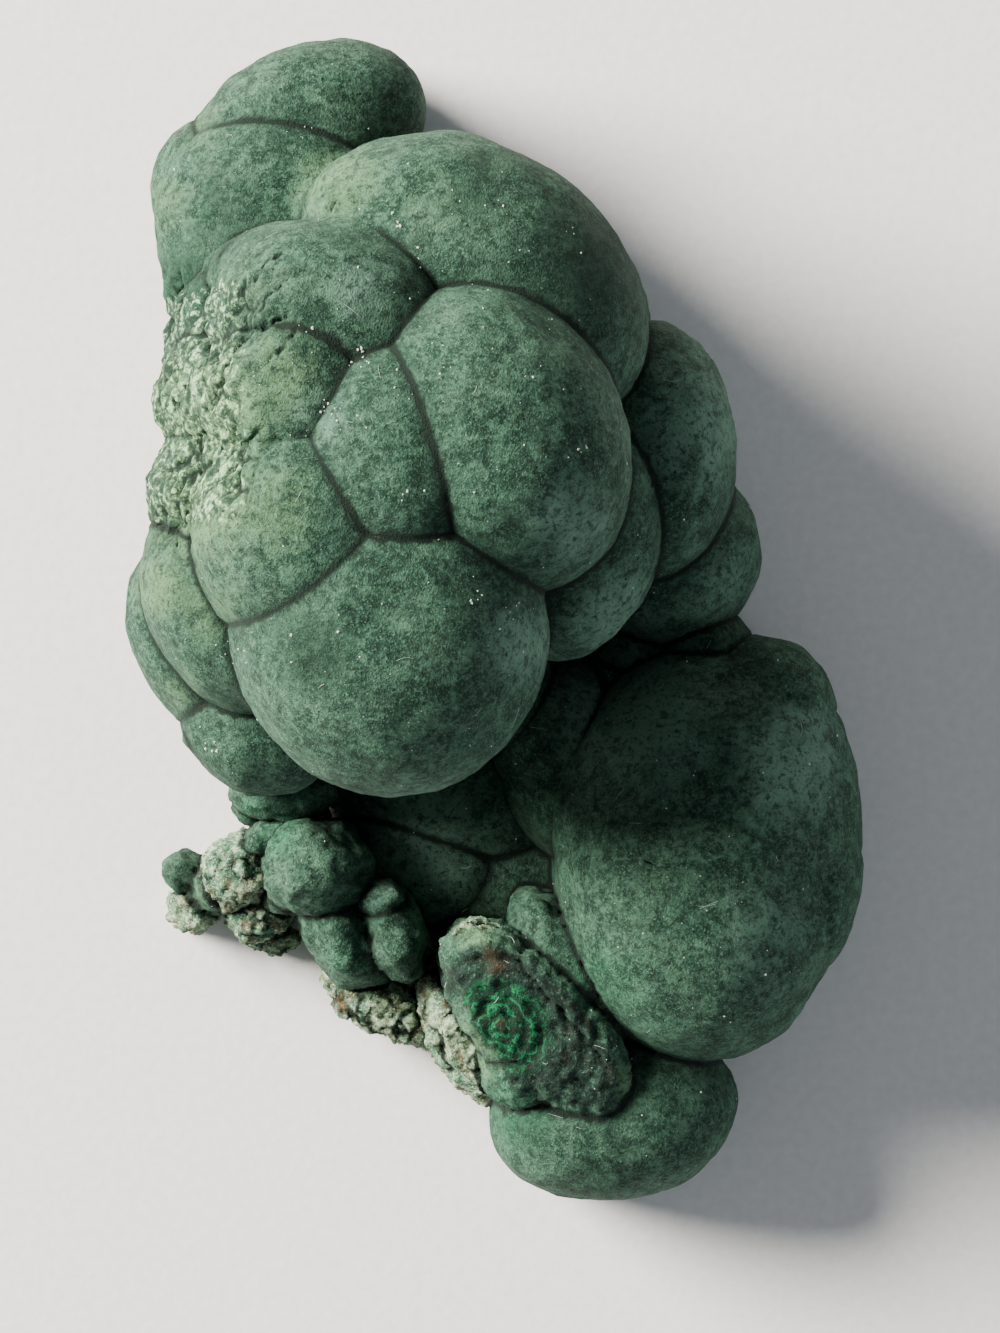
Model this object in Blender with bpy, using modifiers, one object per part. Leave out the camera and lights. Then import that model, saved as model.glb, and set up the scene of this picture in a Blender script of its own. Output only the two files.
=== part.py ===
"""Malachite specimen, 47 x 74 x 36 mm: one grape-like lump of copper carbonate on a flat sawn back.

The stone grew outward from many seeds at once, so its skin is a cluster of round lobes that meet
in creases. Each lobe is an egg with a flattened crown, given in millimetres in LOBES. The eggs are
fused into one solid. Each crease is filled to its own softness but keeps a fine line. One lobe is
broken off flat, and the back is sawn flat so that the lump lies steadily.
+Z is up, +Y runs along the longest side towards the big crown lobes, and the back is at z = 0.
"""

import math

import bmesh
import bpy
import numpy as np
from mathutils import Matrix

MM = 0.001
FUSE_STEP = 0.45
CREASE_REACH = 0.30
SNAP_ROUNDS = 5
SOLID_TRIANGLES = 9300
SAW_HEIGHT = 1.6
CREASE_FILL = 0.5
PILLOW = 2.4
CREASE_SOFTNESS = 0.9

# name, centre x, y, z (mm), half sizes along its own x, y, z (mm), turn about +Z clockwise (degrees)
LOBES = (
    # the tall dome
    ("crown", -0.9, 20.6, 20.0, 11.4, 8.5, 10.5, 36),
    ("crown_end", -6.1, 24.6, 20.5, 5.6, 4.5, 7.0, 0),
    ("shoulder", -9.6, 17.9, 25.1, 8.0, 6.3, 8.7, 14),
    ("cheek", -12.1, 13.7, 26.2, 5.8, 5.4, 8.9, 0),
    ("middle", -5.9, 9.4, 26.4, 6.8, 8.2, 10.4, 0),
    ("brow", 0.1, 11.0, 26.2, 9.9, 7.9, 11.0, 62),
    ("left_mid", -11.2, 5.2, 26.6, 7.2, 7.6, 9.6, 0),
    ("chin", -6.4, -0.6, 25.5, 9.7, 10.4, 11.0, -14),
    ("crescent", 4.9, 5.2, 18.0, 5.6, 8.0, 7.5, 12),
    ("right_upper", 9.8, 10.5, 14.0, 5.5, 8.3, 8.0, 0),
    ("right_lower", 11.2, 4.3, 10.0, 5.8, 5.9, 7.0, 25),
    ("top_back", -11.8, 31.0, 11.5, 7.8, 5.4, 7.0, -22),
    ("top_front", -13.5, 24.5, 12.5, 7.8, 8.0, 8.5, -10),
    ("top_rim", -18.0, 27.5, 11.0, 3.7, 4.2, 5.0, 0),
    ("top_tail", -19.3, 21.1, 12.0, 1.7, 2.7, 4.0, -10),
    ("left_low", -16.8, 0.6, 19.5, 4.6, 7.0, 8.0, -28),
    ("shell", -18.5, -1.3, 13.5, 4.2, 6.6, 6.5, -24),
    ("shell_low", -14.7, -6.4, 14.0, 5.2, 4.6, 6.0, 30),
    ("flank_top", -12.8, 20.3, 22.5, 5.0, 4.0, 6.5, 0),
    ("flank_a", -13.5, 18.3, 19.5, 6.3, 4.6, 7.5, 0),
    ("flank_b", -13.5, 13.8, 19.5, 7.2, 6.0, 9.0, 0),
    ("flank_c", -14.0, 7.6, 19.5, 7.4, 6.2, 9.0, 0),
    # the lower mass
    ("right_big_top", 13.6, -12.2, 8.5, 9.9, 10.6, 11.5, 0),
    ("right_corner", 17.3, -5.3, 10.5, 4.2, 4.2, 6.0, 0),
    ("right_big_low", 12.8, -18.0, 8.9, 8.8, 10.2, 12.5, -12),
    ("right_side", 19.3, -16.7, 10.0, 4.0, 5.9, 6.5, 0),
    ("left_strip", 4.9, -22.2, 9.0, 2.6, 6.0, 6.5, -34),
    ("foot", 7.7, -31.6, 6.5, 8.0, 5.7, 7.5, -9),
    ("broken", 2.7, -25.5, 8.0, 3.9, 8.0, 14.0, -44),
    ("broken_low", 2.1, -28.2, 8.6, 3.2, 3.2, 6.2, 0),
    # the hollow between the two masses
    ("neck", 7.5, -9.0, 6.0, 7.1, 7.1, 8.0, 0),
    ("neck_dark", 2.3, -15.5, 2.0, 4.5, 6.5, 4.0, 0),
    ("neck_top", 3.9, -6.8, 9.0, 3.9, 4.5, 6.0, 30),
    ("recess_left", -4.5, -14.9, 1.5, 6.5, 5.8, 6.0, 35),
    ("gap", -1.5, -9.0, 1.0, 10.3, 7.8, 8.0, 0),
    ("gap_low", -3.5, -21.8, 2.0, 3.6, 3.6, 3.5, 0),
    ("neck_back", 9.5, -2.5, 6.0, 4.0, 3.0, 6.0, 0),
    ("bump", 13.5, -1.5, 8.0, 2.9, 2.3, 6.0, 0),
    # the small knobs at the lower left
    ("knob_r", -11.2, -15.9, 9.0, 3.5, 3.1, 4.6, 0),
    ("knob_s", -6.2, -20.1, 8.6, 1.9, 3.1, 3.3, -12),
    ("knob_t", -9.9, -20.0, 7.5, 2.1, 3.7, 4.0, -32),
    ("knob_u", -8.4, -21.5, 6.4, 2.3, 2.2, 3.8, -10),
    ("knob_q1", -19.9, -16.2, 4.5, 1.5, 1.5, 1.9, 0),
    ("knob_q2", -18.2, -17.3, 5.0, 1.4, 1.7, 2.5, 0),
    ("knob_q3", -19.4, -18.7, 3.4, 1.6, 1.4, 2.2, 0),
    ("grey", -15.2, -19.0, 4.0, 2.1, 1.8, 3.0, 10),
    ("ridge_q", -16.1, -16.2, 4.5, 3.1, 2.5, 4.5, -20),
    ("ridge_up", -13.5, -13.5, 6.0, 3.3, 1.4, 3.6, -30),
    ("hinge", -13.4, -11.0, 8.0, 3.4, 1.8, 3.5, 0),
    ("tab", -15.5, -12.0, 6.0, 1.2, 1.2, 2.5, 0),
    ("grey_back", -16.4, -17.5, 4.2, 1.8, 1.4, 2.4, 0),
    ("grey_rim", -14.5, -20.5, 3.0, 1.7, 0.9, 1.9, 12),
    ("knob_r_side", -13.3, -17.7, 6.5, 1.5, 1.3, 2.0, 0),
    ("knob_s_top", -6.9, -17.8, 10.2, 1.4, 1.2, 1.7, 0),
    ("crumb_top", -0.9, -20.5, 12.0, 1.9, 1.3, 3.0, 0),
    ("crust", -6.9, -25.0, 3.5, 4.6, 1.7, 3.5, 28),
    ("crust_low", -1.6, -27.0, 5.0, 5.0, 2.3, 5.0, 58),
    # the low lobes that carry the sides
    ("low_rim", -16.4, 27.0, 5.0, 4.6, 5.4, 6.0, -20),
    ("low_back", -11.6, 31.2, 5.0, 6.9, 5.2, 6.0, -22),
    ("low_crown", -1.6, 24.0, 8.5, 7.2, 6.0, 8.5, 20),
    ("low_crown_side", 4.0, 18.5, 8.0, 5.8, 6.2, 8.0, 30),
    ("low_right_top", 9.0, 11.4, 6.0, 5.9, 6.5, 6.5, 0),
    ("low_right_end", 10.6, 3.6, 5.0, 5.9, 5.0, 6.0, 20),
    ("low_left_top", -16.9, 16.6, 10.5, 3.8, 4.6, 6.5, 0),
    ("low_left", -17.0, 8.4, 9.5, 4.5, 5.4, 7.0, 0),
    ("low_left_foot", -17.4, 14.6, 3.5, 3.2, 4.6, 4.5, 0),
    ("low_shell", -17.3, 0.6, 6.5, 5.2, 5.4, 6.5, -15),
    ("low_shell_end", -13.6, -5.4, 6.0, 5.6, 4.8, 6.5, 20),
    ("low_chin", -4.4, -3.8, 11.0, 8.2, 6.0, 9.0, -10),
    ("low_side_top", 15.8, -9.2, 5.5, 6.3, 6.4, 6.5, 0),
    ("low_side", 17.0, -17.2, 5.5, 5.4, 5.8, 6.0, 0),
    ("low_side_end", 11.6, -23.2, 5.5, 6.4, 5.2, 6.5, -25),
    ("low_foot", 7.2, -31.4, 3.0, 7.0, 4.8, 5.0, -9),
    # the heart of the stone, hidden inside
    ("heart", -4.7, 12.0, 15.0, 13.2, 16.4, 11.5, 0),
    ("heart_low", -4.0, 12.5, 5.0, 14.0, 15.5, 9.0, 0),
    ("heart_right", 11.8, -15.5, 5.0, 8.0, 11.0, 9.0, 0),
    ("heart_middle", 2.0, -15.0, 2.0, 9.5, 12.5, 4.5, 20),
    ("heart_neck", 4.0, -4.5, 2.0, 9.0, 7.0, 5.5, 0),
    ("heart_left", -9.0, -2.5, 2.0, 6.5, 5.0, 5.0, 0),
    ("heart_top", -10.5, 26.5, 3.0, 6.0, 5.0, 5.0, 0),
)

# where two lobes merge softly: x, y and reach of the place, then how wide the crease is filled (mm)
SOFT_PLACES = (
    (-3.0, 11.0, 4.5, 1.3),
    (-9.5, 13.5, 4.5, 1.3),
    (-15.5, 13.0, 5.5, 3.2),
    (-15.0, 7.0, 4.5, 3.2),
    (-9.0, 26.0, 3.5, 4.0),
    (-19.0, 27.0, 4.0, 3.5),
    (13.0, -13.5, 8.0, 2.2),
    (18.5, -5.0, 4.5, 4.0),
    (21.5, -17.5, 5.0, 3.5),
    (3.5, -10.0, 5.5, 3.0),
)

# the lobe that was broken off flat, a point of the break and the way it faces
BROKEN_LOBE = "broken"
BREAK_POINT = np.array([3.1, -25.2, 15.6])
BREAK_FACING = np.array([-0.12, -0.20, 0.97]) / np.linalg.norm([-0.12, -0.20, 0.97])


def clear_scene():
    for obj in list(bpy.data.objects):
        bpy.data.objects.remove(obj, do_unlink=True)


def lobe_frames():
    """Centres, and the matrices that turn millimetres into each lobe's own unit ball."""
    centres = np.array([row[1:4] for row in LOBES], dtype=float)
    to_ball = []
    for row in LOBES:
        turn = math.radians(-row[7])
        axes = np.array([
            [math.cos(turn), math.sin(turn), 0.0],
            [-math.sin(turn), math.cos(turn), 0.0],
            [0.0, 0.0, 1.0],
        ])
        to_ball.append(axes / np.array(row[4:7])[:, None])
    return centres, np.array(to_ball)


def pillow(local):
    """How many times its own size from the centre each point is, with flat crowns, and the slope."""
    round_part = np.maximum(np.hypot(local[..., 0], local[..., 1]), 1e-9)
    tall_part = np.maximum(np.abs(local[..., 2]), 1e-9)
    reach = (round_part ** PILLOW + tall_part ** PILLOW) ** (1.0 / PILLOW)
    weight = np.stack([round_part, round_part, tall_part], axis=-1) ** (PILLOW - 2.0)
    return reach, local * weight * (reach ** (1.0 - PILLOW))[..., None]


def add_lobes(mesh):
    """One closed egg per lobe, all in one mesh, in millimetres, with the broken one cut flat."""
    build = bmesh.new()
    for row in LOBES:
        place = Matrix.Translation(row[1:4]) @ Matrix.Rotation(math.radians(-row[7]), 4, "Z")
        shape = place @ Matrix.Diagonal((*row[4:7], 1.0))
        egg = bmesh.ops.create_icosphere(build, subdivisions=3, radius=1.0)
        for vert in egg["verts"]:
            vert.co = shape @ (vert.co / float(pillow(np.array(vert.co))[0]))
        if row[0] == BROKEN_LOBE:
            edges = {edge for vert in egg["verts"] for edge in vert.link_edges}
            faces = {face for vert in egg["verts"] for face in vert.link_faces}
            cut = bmesh.ops.bisect_plane(
                build, geom=egg["verts"] + list(edges) + list(faces), dist=1e-5,
                plane_co=BREAK_POINT, plane_no=BREAK_FACING, clear_outer=True)
            rim = [item for item in cut["geom_cut"] if isinstance(item, bmesh.types.BMEdge)]
            bmesh.ops.triangle_fill(build, use_beauty=True, edges=rim, normal=BREAK_FACING)
    build.to_mesh(mesh)
    build.free()


def modified(obj, kind, **settings):
    """Give the object one modifier, and bake its result into the mesh."""
    modifier = obj.modifiers.new(kind.title(), kind)
    for key, value in settings.items():
        setattr(modifier, key, value)
    graph = bpy.context.evaluated_depsgraph_get()
    baked = bpy.data.meshes.new_from_object(obj.evaluated_get(graph))
    obj.modifiers.clear()
    obj.data = baked


def keep_outer_skin(mesh):
    """Keep only the largest connected skin, so no sealed pocket stays inside the stone."""
    build = bmesh.new()
    build.from_mesh(mesh)
    unseen = set(build.verts)
    islands = []
    while unseen:
        stack = [unseen.pop()]
        island = list(stack)
        while stack:
            for edge in stack.pop().link_edges:
                for vert in edge.verts:
                    if vert in unseen:
                        unseen.discard(vert)
                        stack.append(vert)
                        island.append(vert)
        islands.append(island)
    islands.sort(key=len)
    for island in islands[:-1]:
        bmesh.ops.delete(build, geom=island, context="VERTS")
    build.to_mesh(mesh)
    build.free()


def nearest_two(points, centres, to_ball):
    """Signed distance and outward direction of the two lobes nearest to each point."""
    names = [row[0] for row in LOBES]
    broken = names.index(BROKEN_LOBE)
    above_break = (points - BREAK_POINT) @ BREAK_FACING
    gaps = np.empty((len(points), len(centres)))
    for index, (centre, matrix) in enumerate(zip(centres, to_ball)):
        reach, slope = pillow((points - centre) @ matrix.T)
        gaps[:, index] = (reach - 1.0) / np.linalg.norm(slope @ matrix, axis=1)
    on_break = above_break > gaps[:, broken]
    gaps[:, broken] = np.maximum(gaps[:, broken], above_break)
    order = np.argpartition(gaps, 1, axis=1)[:, :2]
    rows = np.arange(len(points))[:, None]
    swap = gaps[rows, order][:, 0] > gaps[rows, order][:, 1]
    order[swap] = order[swap][:, ::-1]
    local = np.einsum("pkij,pkj->pki", to_ball[order], points[:, None] - centres[order])
    normal = np.einsum("pki,pkij->pkj", pillow(local)[1], to_ball[order])
    normal /= np.linalg.norm(normal, axis=2, keepdims=True)
    normal[(order == broken) & on_break[:, None]] = BREAK_FACING
    return gaps[rows, order], normal


def crease_softness(points):
    """How wide the crease is filled at each point."""
    soft = np.full(len(points), CREASE_SOFTNESS)
    for x, y, reach, width in SOFT_PLACES:
        away = (points[:, 0] - x) ** 2 + (points[:, 1] - y) ** 2
        soft += (width - soft) * np.exp(-away / reach ** 2)
    return soft


def settle_skin(mesh):
    """Move every vertex onto its lobe, over the filled creases, and onto each crease's own line."""
    centres, to_ball = lobe_frames()
    flat = np.empty(len(mesh.vertices) * 3)
    mesh.vertices.foreach_get("co", flat)
    points = flat.reshape(-1, 3)
    for _ in range(SNAP_ROUNDS):
        gaps, normal = nearest_two(points, centres, to_ball)
        soft = crease_softness(points)
        apart = gaps[:, 1] - gaps[:, 0]
        share = np.clip(1.0 - apart / soft, 0.0, 1.0)
        full = CREASE_FILL * soft / 4.0
        lean = (CREASE_FILL * share / 2.0)[:, None]
        outward = normal[:, 0] * (1.0 - lean) + normal[:, 1] * lean
        outward /= np.linalg.norm(outward, axis=1, keepdims=True)
        step = (full * share ** 2 - gaps[:, 0])[:, None] * outward
        cosine = np.einsum("pj,pj->p", normal[:, 0], normal[:, 1])
        crease = (apart < CREASE_REACH) & (cosine < 0.96)
        spread = 1.0 - cosine[crease] ** 2
        near = gaps[crease, 0] - full[crease]
        far = gaps[crease, 1] - full[crease]
        first = (cosine[crease] * far - near) / spread
        second = (cosine[crease] * near - far) / spread
        step[crease] = first[:, None] * normal[crease, 0] + second[:, None] * normal[crease, 1]
        size = np.linalg.norm(step, axis=1, keepdims=True)
        points += step * np.minimum(1.0, FUSE_STEP / np.maximum(size, 1e-9))
    mesh.vertices.foreach_set("co", points.ravel())
    mesh.update()


def saw_back_flat(mesh):
    """Saw the lump level at the back and close the cut with one flat face of triangles."""
    build = bmesh.new()
    build.from_mesh(mesh)
    everything = build.verts[:] + build.edges[:] + build.faces[:]
    cut = bmesh.ops.bisect_plane(
        build, geom=everything, dist=1e-5, plane_co=(0.0, 0.0, SAW_HEIGHT),
        plane_no=(0.0, 0.0, -1.0), clear_outer=True)
    rim = [item for item in cut["geom_cut"] if isinstance(item, bmesh.types.BMEdge)]
    bmesh.ops.triangle_fill(build, use_beauty=True, edges=rim, normal=(0.0, 0.0, -1.0))
    bmesh.ops.triangulate(build, faces=build.faces[:])
    bmesh.ops.recalc_face_normals(build, faces=build.faces[:])
    build.to_mesh(mesh)
    build.free()


def centre_and_scale(mesh):
    """Set the sawn back on z = 0 under the middle of the lump, and turn millimetres into metres."""
    corners = np.array([vert.co for vert in mesh.vertices])
    middle = (corners.min(axis=0) + corners.max(axis=0)) / 2
    mesh.transform(Matrix.Scale(MM, 4) @ Matrix.Translation((-middle[0], -middle[1], -SAW_HEIGHT)))


def malachite_material():
    """Velvety green stone skin: fine fibrous crystals that scatter light, no polish."""
    stone = bpy.data.materials.new("malachite_skin")
    stone.use_nodes = True
    shader = stone.node_tree.nodes["Principled BSDF"]
    shader.inputs["Base Color"].default_value = (0.085, 0.205, 0.135, 1.0)
    shader.inputs["Roughness"].default_value = 0.85
    return stone


def build_specimen():
    group = bpy.data.collections.new("malachite_specimen")
    bpy.context.scene.collection.children.link(group)
    obj = bpy.data.objects.new("malachite", bpy.data.meshes.new("malachite"))
    group.objects.link(obj)
    add_lobes(obj.data)
    modified(obj, "REMESH", mode="VOXEL", voxel_size=FUSE_STEP)
    keep_outer_skin(obj.data)
    settle_skin(obj.data)
    modified(obj, "TRIANGULATE")
    modified(obj, "DECIMATE", ratio=SOLID_TRIANGLES / len(obj.data.polygons))
    saw_back_flat(obj.data)
    centre_and_scale(obj.data)
    obj.data.materials.clear()
    obj.data.materials.append(malachite_material())
    obj.data.shade_smooth()


clear_scene()
build_specimen()
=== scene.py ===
# %% [markdown]
# # A velvety malachite specimen
# Malachite is a green copper carbonate. When it grows from many seeds at once it forms a cluster
# of round lobes that press against each other, a habit that mineralogists call botryoidal, after a
# bunch of grapes. This lump is 47 mm wide and 74 mm long. Its skin is not polished: it is a pile of
# upright hair-thin crystals, so it looks like dusty green velvet. The back is sawn flat.
#
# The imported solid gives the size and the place. This lesson grows a finer skin in exactly the same
# place, then gives it a finish, dust, lint, a floor, light and a camera.

import math

import bmesh
import bpy
import numpy as np
from mathutils import Matrix, Vector, noise
from mathutils.bvhtree import BVHTree


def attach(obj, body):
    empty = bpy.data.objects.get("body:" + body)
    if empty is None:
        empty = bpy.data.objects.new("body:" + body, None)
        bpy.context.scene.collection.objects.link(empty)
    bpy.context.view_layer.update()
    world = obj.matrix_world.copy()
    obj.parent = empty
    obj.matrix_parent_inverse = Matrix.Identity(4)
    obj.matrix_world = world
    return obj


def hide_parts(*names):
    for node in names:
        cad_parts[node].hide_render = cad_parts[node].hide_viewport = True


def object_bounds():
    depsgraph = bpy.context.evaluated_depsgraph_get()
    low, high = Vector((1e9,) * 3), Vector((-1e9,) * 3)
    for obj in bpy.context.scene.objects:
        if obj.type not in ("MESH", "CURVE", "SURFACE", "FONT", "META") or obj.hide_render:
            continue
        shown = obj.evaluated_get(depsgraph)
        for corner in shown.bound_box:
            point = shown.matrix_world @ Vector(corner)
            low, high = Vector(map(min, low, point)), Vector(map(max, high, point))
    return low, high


MM = 0.001
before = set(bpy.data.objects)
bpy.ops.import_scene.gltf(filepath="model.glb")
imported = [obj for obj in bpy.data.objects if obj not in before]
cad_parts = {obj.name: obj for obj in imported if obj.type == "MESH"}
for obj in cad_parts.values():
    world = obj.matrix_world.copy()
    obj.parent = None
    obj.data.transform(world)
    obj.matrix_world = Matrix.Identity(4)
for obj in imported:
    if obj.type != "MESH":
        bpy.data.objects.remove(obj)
cad_box = [[float(value) for value in corner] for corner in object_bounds()]
print("solid box in mm:", [[round(value / MM, 2) for value in corner] for corner in cad_box])

# %% [markdown]
# ## The lobes
# Each lobe is an egg: a centre, three half sizes and a turn, all in millimetres. A sphere per lobe
# would be simpler, but real lobes are squeezed by their neighbours, so eggs fit better. Where two
# eggs overlap, the skin is whichever is outermost. The whole character of the stone is in this
# table: wide shallow caps that make one dome, a second mass lower down, a deep hollow between them,
# and small knobs on a crumbly corner.

# %% The table of lobes: name, centre x y z, half sizes x y z, clockwise turn in degrees
LOBES = (
    # the tall dome
    ("crown", -0.9, 20.6, 20.0, 11.4, 8.5, 10.5, 36),
    ("crown_end", -6.1, 24.6, 20.5, 5.6, 4.5, 7.0, 0),
    ("shoulder", -9.6, 17.9, 25.1, 8.0, 6.3, 8.7, 14),
    ("cheek", -12.1, 13.7, 26.2, 5.8, 5.4, 8.9, 0),
    ("middle", -5.9, 9.4, 26.4, 6.8, 8.2, 10.4, 0),
    ("brow", 0.1, 11.0, 26.2, 9.9, 7.9, 11.0, 62),
    ("left_mid", -11.2, 5.2, 26.6, 7.2, 7.6, 9.6, 0),
    ("chin", -6.4, -0.6, 25.5, 9.7, 10.4, 11.0, -14),
    ("crescent", 4.9, 5.2, 18.0, 5.6, 8.0, 7.5, 12),
    ("right_upper", 9.8, 10.5, 14.0, 5.5, 8.3, 8.0, 0),
    ("right_lower", 11.2, 4.3, 10.0, 5.8, 5.9, 7.0, 25),
    ("top_back", -11.8, 31.0, 11.5, 7.8, 5.4, 7.0, -22),
    ("top_front", -13.5, 24.5, 12.5, 7.8, 8.0, 8.5, -10),
    ("top_rim", -18.0, 27.5, 11.0, 3.7, 4.2, 5.0, 0),
    ("top_tail", -19.3, 21.1, 12.0, 1.7, 2.7, 4.0, -10),
    ("left_low", -16.8, 0.6, 19.5, 4.6, 7.0, 8.0, -28),
    ("shell", -18.5, -1.3, 13.5, 4.2, 6.6, 6.5, -24),
    ("shell_low", -14.7, -6.4, 14.0, 5.2, 4.6, 6.0, 30),
    ("flank_top", -12.8, 20.3, 22.5, 5.0, 4.0, 6.5, 0),
    ("flank_a", -13.5, 18.3, 19.5, 6.3, 4.6, 7.5, 0),
    ("flank_b", -13.5, 13.8, 19.5, 7.2, 6.0, 9.0, 0),
    ("flank_c", -14.0, 7.6, 19.5, 7.4, 6.2, 9.0, 0),
    # the lower mass
    ("right_big_top", 13.6, -12.2, 8.5, 9.9, 10.6, 11.5, 0),
    ("right_corner", 17.3, -5.3, 10.5, 4.2, 4.2, 6.0, 0),
    ("right_big_low", 12.8, -18.0, 8.9, 8.8, 10.2, 12.5, -12),
    ("right_side", 19.3, -16.7, 10.0, 4.0, 5.9, 6.5, 0),
    ("left_strip", 4.9, -22.2, 9.0, 2.6, 6.0, 6.5, -34),
    ("foot", 7.7, -31.6, 6.5, 8.0, 5.7, 7.5, -9),
    ("broken", 2.7, -25.5, 8.0, 3.9, 8.0, 14.0, -44),
    ("broken_low", 2.1, -28.2, 8.6, 3.2, 3.2, 6.2, 0),
    # the hollow between the two masses
    ("neck", 7.5, -9.0, 6.0, 7.1, 7.1, 8.0, 0),
    ("neck_dark", 2.3, -15.5, 2.0, 4.5, 6.5, 4.0, 0),
    ("neck_top", 3.9, -6.8, 9.0, 3.9, 4.5, 6.0, 30),
    ("recess_left", -4.5, -14.9, 1.5, 6.5, 5.8, 6.0, 35),
    ("gap", -1.5, -9.0, 1.0, 10.3, 7.8, 8.0, 0),
    ("gap_low", -3.5, -21.8, 2.0, 3.6, 3.6, 3.5, 0),
    ("neck_back", 9.5, -2.5, 6.0, 4.0, 3.0, 6.0, 0),
    ("bump", 13.5, -1.5, 8.0, 2.9, 2.3, 6.0, 0),
    # the small knobs at the lower left
    ("knob_r", -11.2, -15.9, 9.0, 3.5, 3.1, 4.6, 0),
    ("knob_s", -6.2, -20.1, 8.6, 1.9, 3.1, 3.3, -12),
    ("knob_t", -9.9, -20.0, 7.5, 2.1, 3.7, 4.0, -32),
    ("knob_u", -8.4, -21.5, 6.4, 2.3, 2.2, 3.8, -10),
    ("knob_q1", -19.9, -16.2, 4.5, 1.5, 1.5, 1.9, 0),
    ("knob_q2", -18.2, -17.3, 5.0, 1.4, 1.7, 2.5, 0),
    ("knob_q3", -19.4, -18.7, 3.4, 1.6, 1.4, 2.2, 0),
    ("grey", -15.2, -19.0, 4.0, 2.1, 1.8, 3.0, 10),
    ("ridge_q", -16.1, -16.2, 4.5, 3.1, 2.5, 4.5, -20),
    ("ridge_up", -13.5, -13.5, 6.0, 3.3, 1.4, 3.6, -30),
    ("hinge", -13.4, -11.0, 8.0, 3.4, 1.8, 3.5, 0),
    ("tab", -15.5, -12.0, 6.0, 1.2, 1.2, 2.5, 0),
    ("grey_back", -16.4, -17.5, 4.2, 1.8, 1.4, 2.4, 0),
    ("grey_rim", -14.5, -20.5, 3.0, 1.7, 0.9, 1.9, 12),
    ("knob_r_side", -13.3, -17.7, 6.5, 1.5, 1.3, 2.0, 0),
    ("knob_s_top", -6.9, -17.8, 10.2, 1.4, 1.2, 1.7, 0),
    ("crumb_top", -0.9, -20.5, 12.0, 1.9, 1.3, 3.0, 0),
    ("crust", -6.9, -25.0, 3.5, 4.6, 1.7, 3.5, 28),
    ("crust_low", -1.6, -27.0, 5.0, 5.0, 2.3, 5.0, 58),
    # the low lobes that carry the sides
    ("low_rim", -16.4, 27.0, 5.0, 4.6, 5.4, 6.0, -20),
    ("low_back", -11.6, 31.2, 5.0, 6.9, 5.2, 6.0, -22),
    ("low_crown", -1.6, 24.0, 8.5, 7.2, 6.0, 8.5, 20),
    ("low_crown_side", 4.0, 18.5, 8.0, 5.8, 6.2, 8.0, 30),
    ("low_right_top", 9.0, 11.4, 6.0, 5.9, 6.5, 6.5, 0),
    ("low_right_end", 10.6, 3.6, 5.0, 5.9, 5.0, 6.0, 20),
    ("low_left_top", -16.9, 16.6, 10.5, 3.8, 4.6, 6.5, 0),
    ("low_left", -17.0, 8.4, 9.5, 4.5, 5.4, 7.0, 0),
    ("low_left_foot", -17.4, 14.6, 3.5, 3.2, 4.6, 4.5, 0),
    ("low_shell", -17.3, 0.6, 6.5, 5.2, 5.4, 6.5, -15),
    ("low_shell_end", -13.6, -5.4, 6.0, 5.6, 4.8, 6.5, 20),
    ("low_chin", -4.4, -3.8, 11.0, 8.2, 6.0, 9.0, -10),
    ("low_side_top", 15.8, -9.2, 5.5, 6.3, 6.4, 6.5, 0),
    ("low_side", 17.0, -17.2, 5.5, 5.4, 5.8, 6.0, 0),
    ("low_side_end", 11.6, -23.2, 5.5, 6.4, 5.2, 6.5, -25),
    ("low_foot", 7.2, -31.4, 3.0, 7.0, 4.8, 5.0, -9),
    # the heart of the stone, hidden inside
    ("heart", -4.7, 12.0, 15.0, 13.2, 16.4, 11.5, 0),
    ("heart_low", -4.0, 12.5, 5.0, 14.0, 15.5, 9.0, 0),
    ("heart_right", 11.8, -15.5, 5.0, 8.0, 11.0, 9.0, 0),
    ("heart_middle", 2.0, -15.0, 2.0, 9.5, 12.5, 4.5, 20),
    ("heart_neck", 4.0, -4.5, 2.0, 9.0, 7.0, 5.5, 0),
    ("heart_left", -9.0, -2.5, 2.0, 6.5, 5.0, 5.0, 0),
    ("heart_top", -10.5, 26.5, 3.0, 6.0, 5.0, 5.0, 0),
)
BACK_HEIGHT = 1.6
print(len(LOBES), "lobes")

# %% [markdown]
# ## Small knobs
# The left flank and the broken corner are bumpy: low knobs 1 to 4 mm across sit on the bigger
# lobes there. Placing each by hand would be slow, and a noise texture would give dents rather
# than round bumps. So small eggs are put at random spots on the skin of a chosen lobe and sunk, on
# the flank so deep that only a low cap is left. The random numbers have a fixed seed, so the stone
# is always the same.

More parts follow.
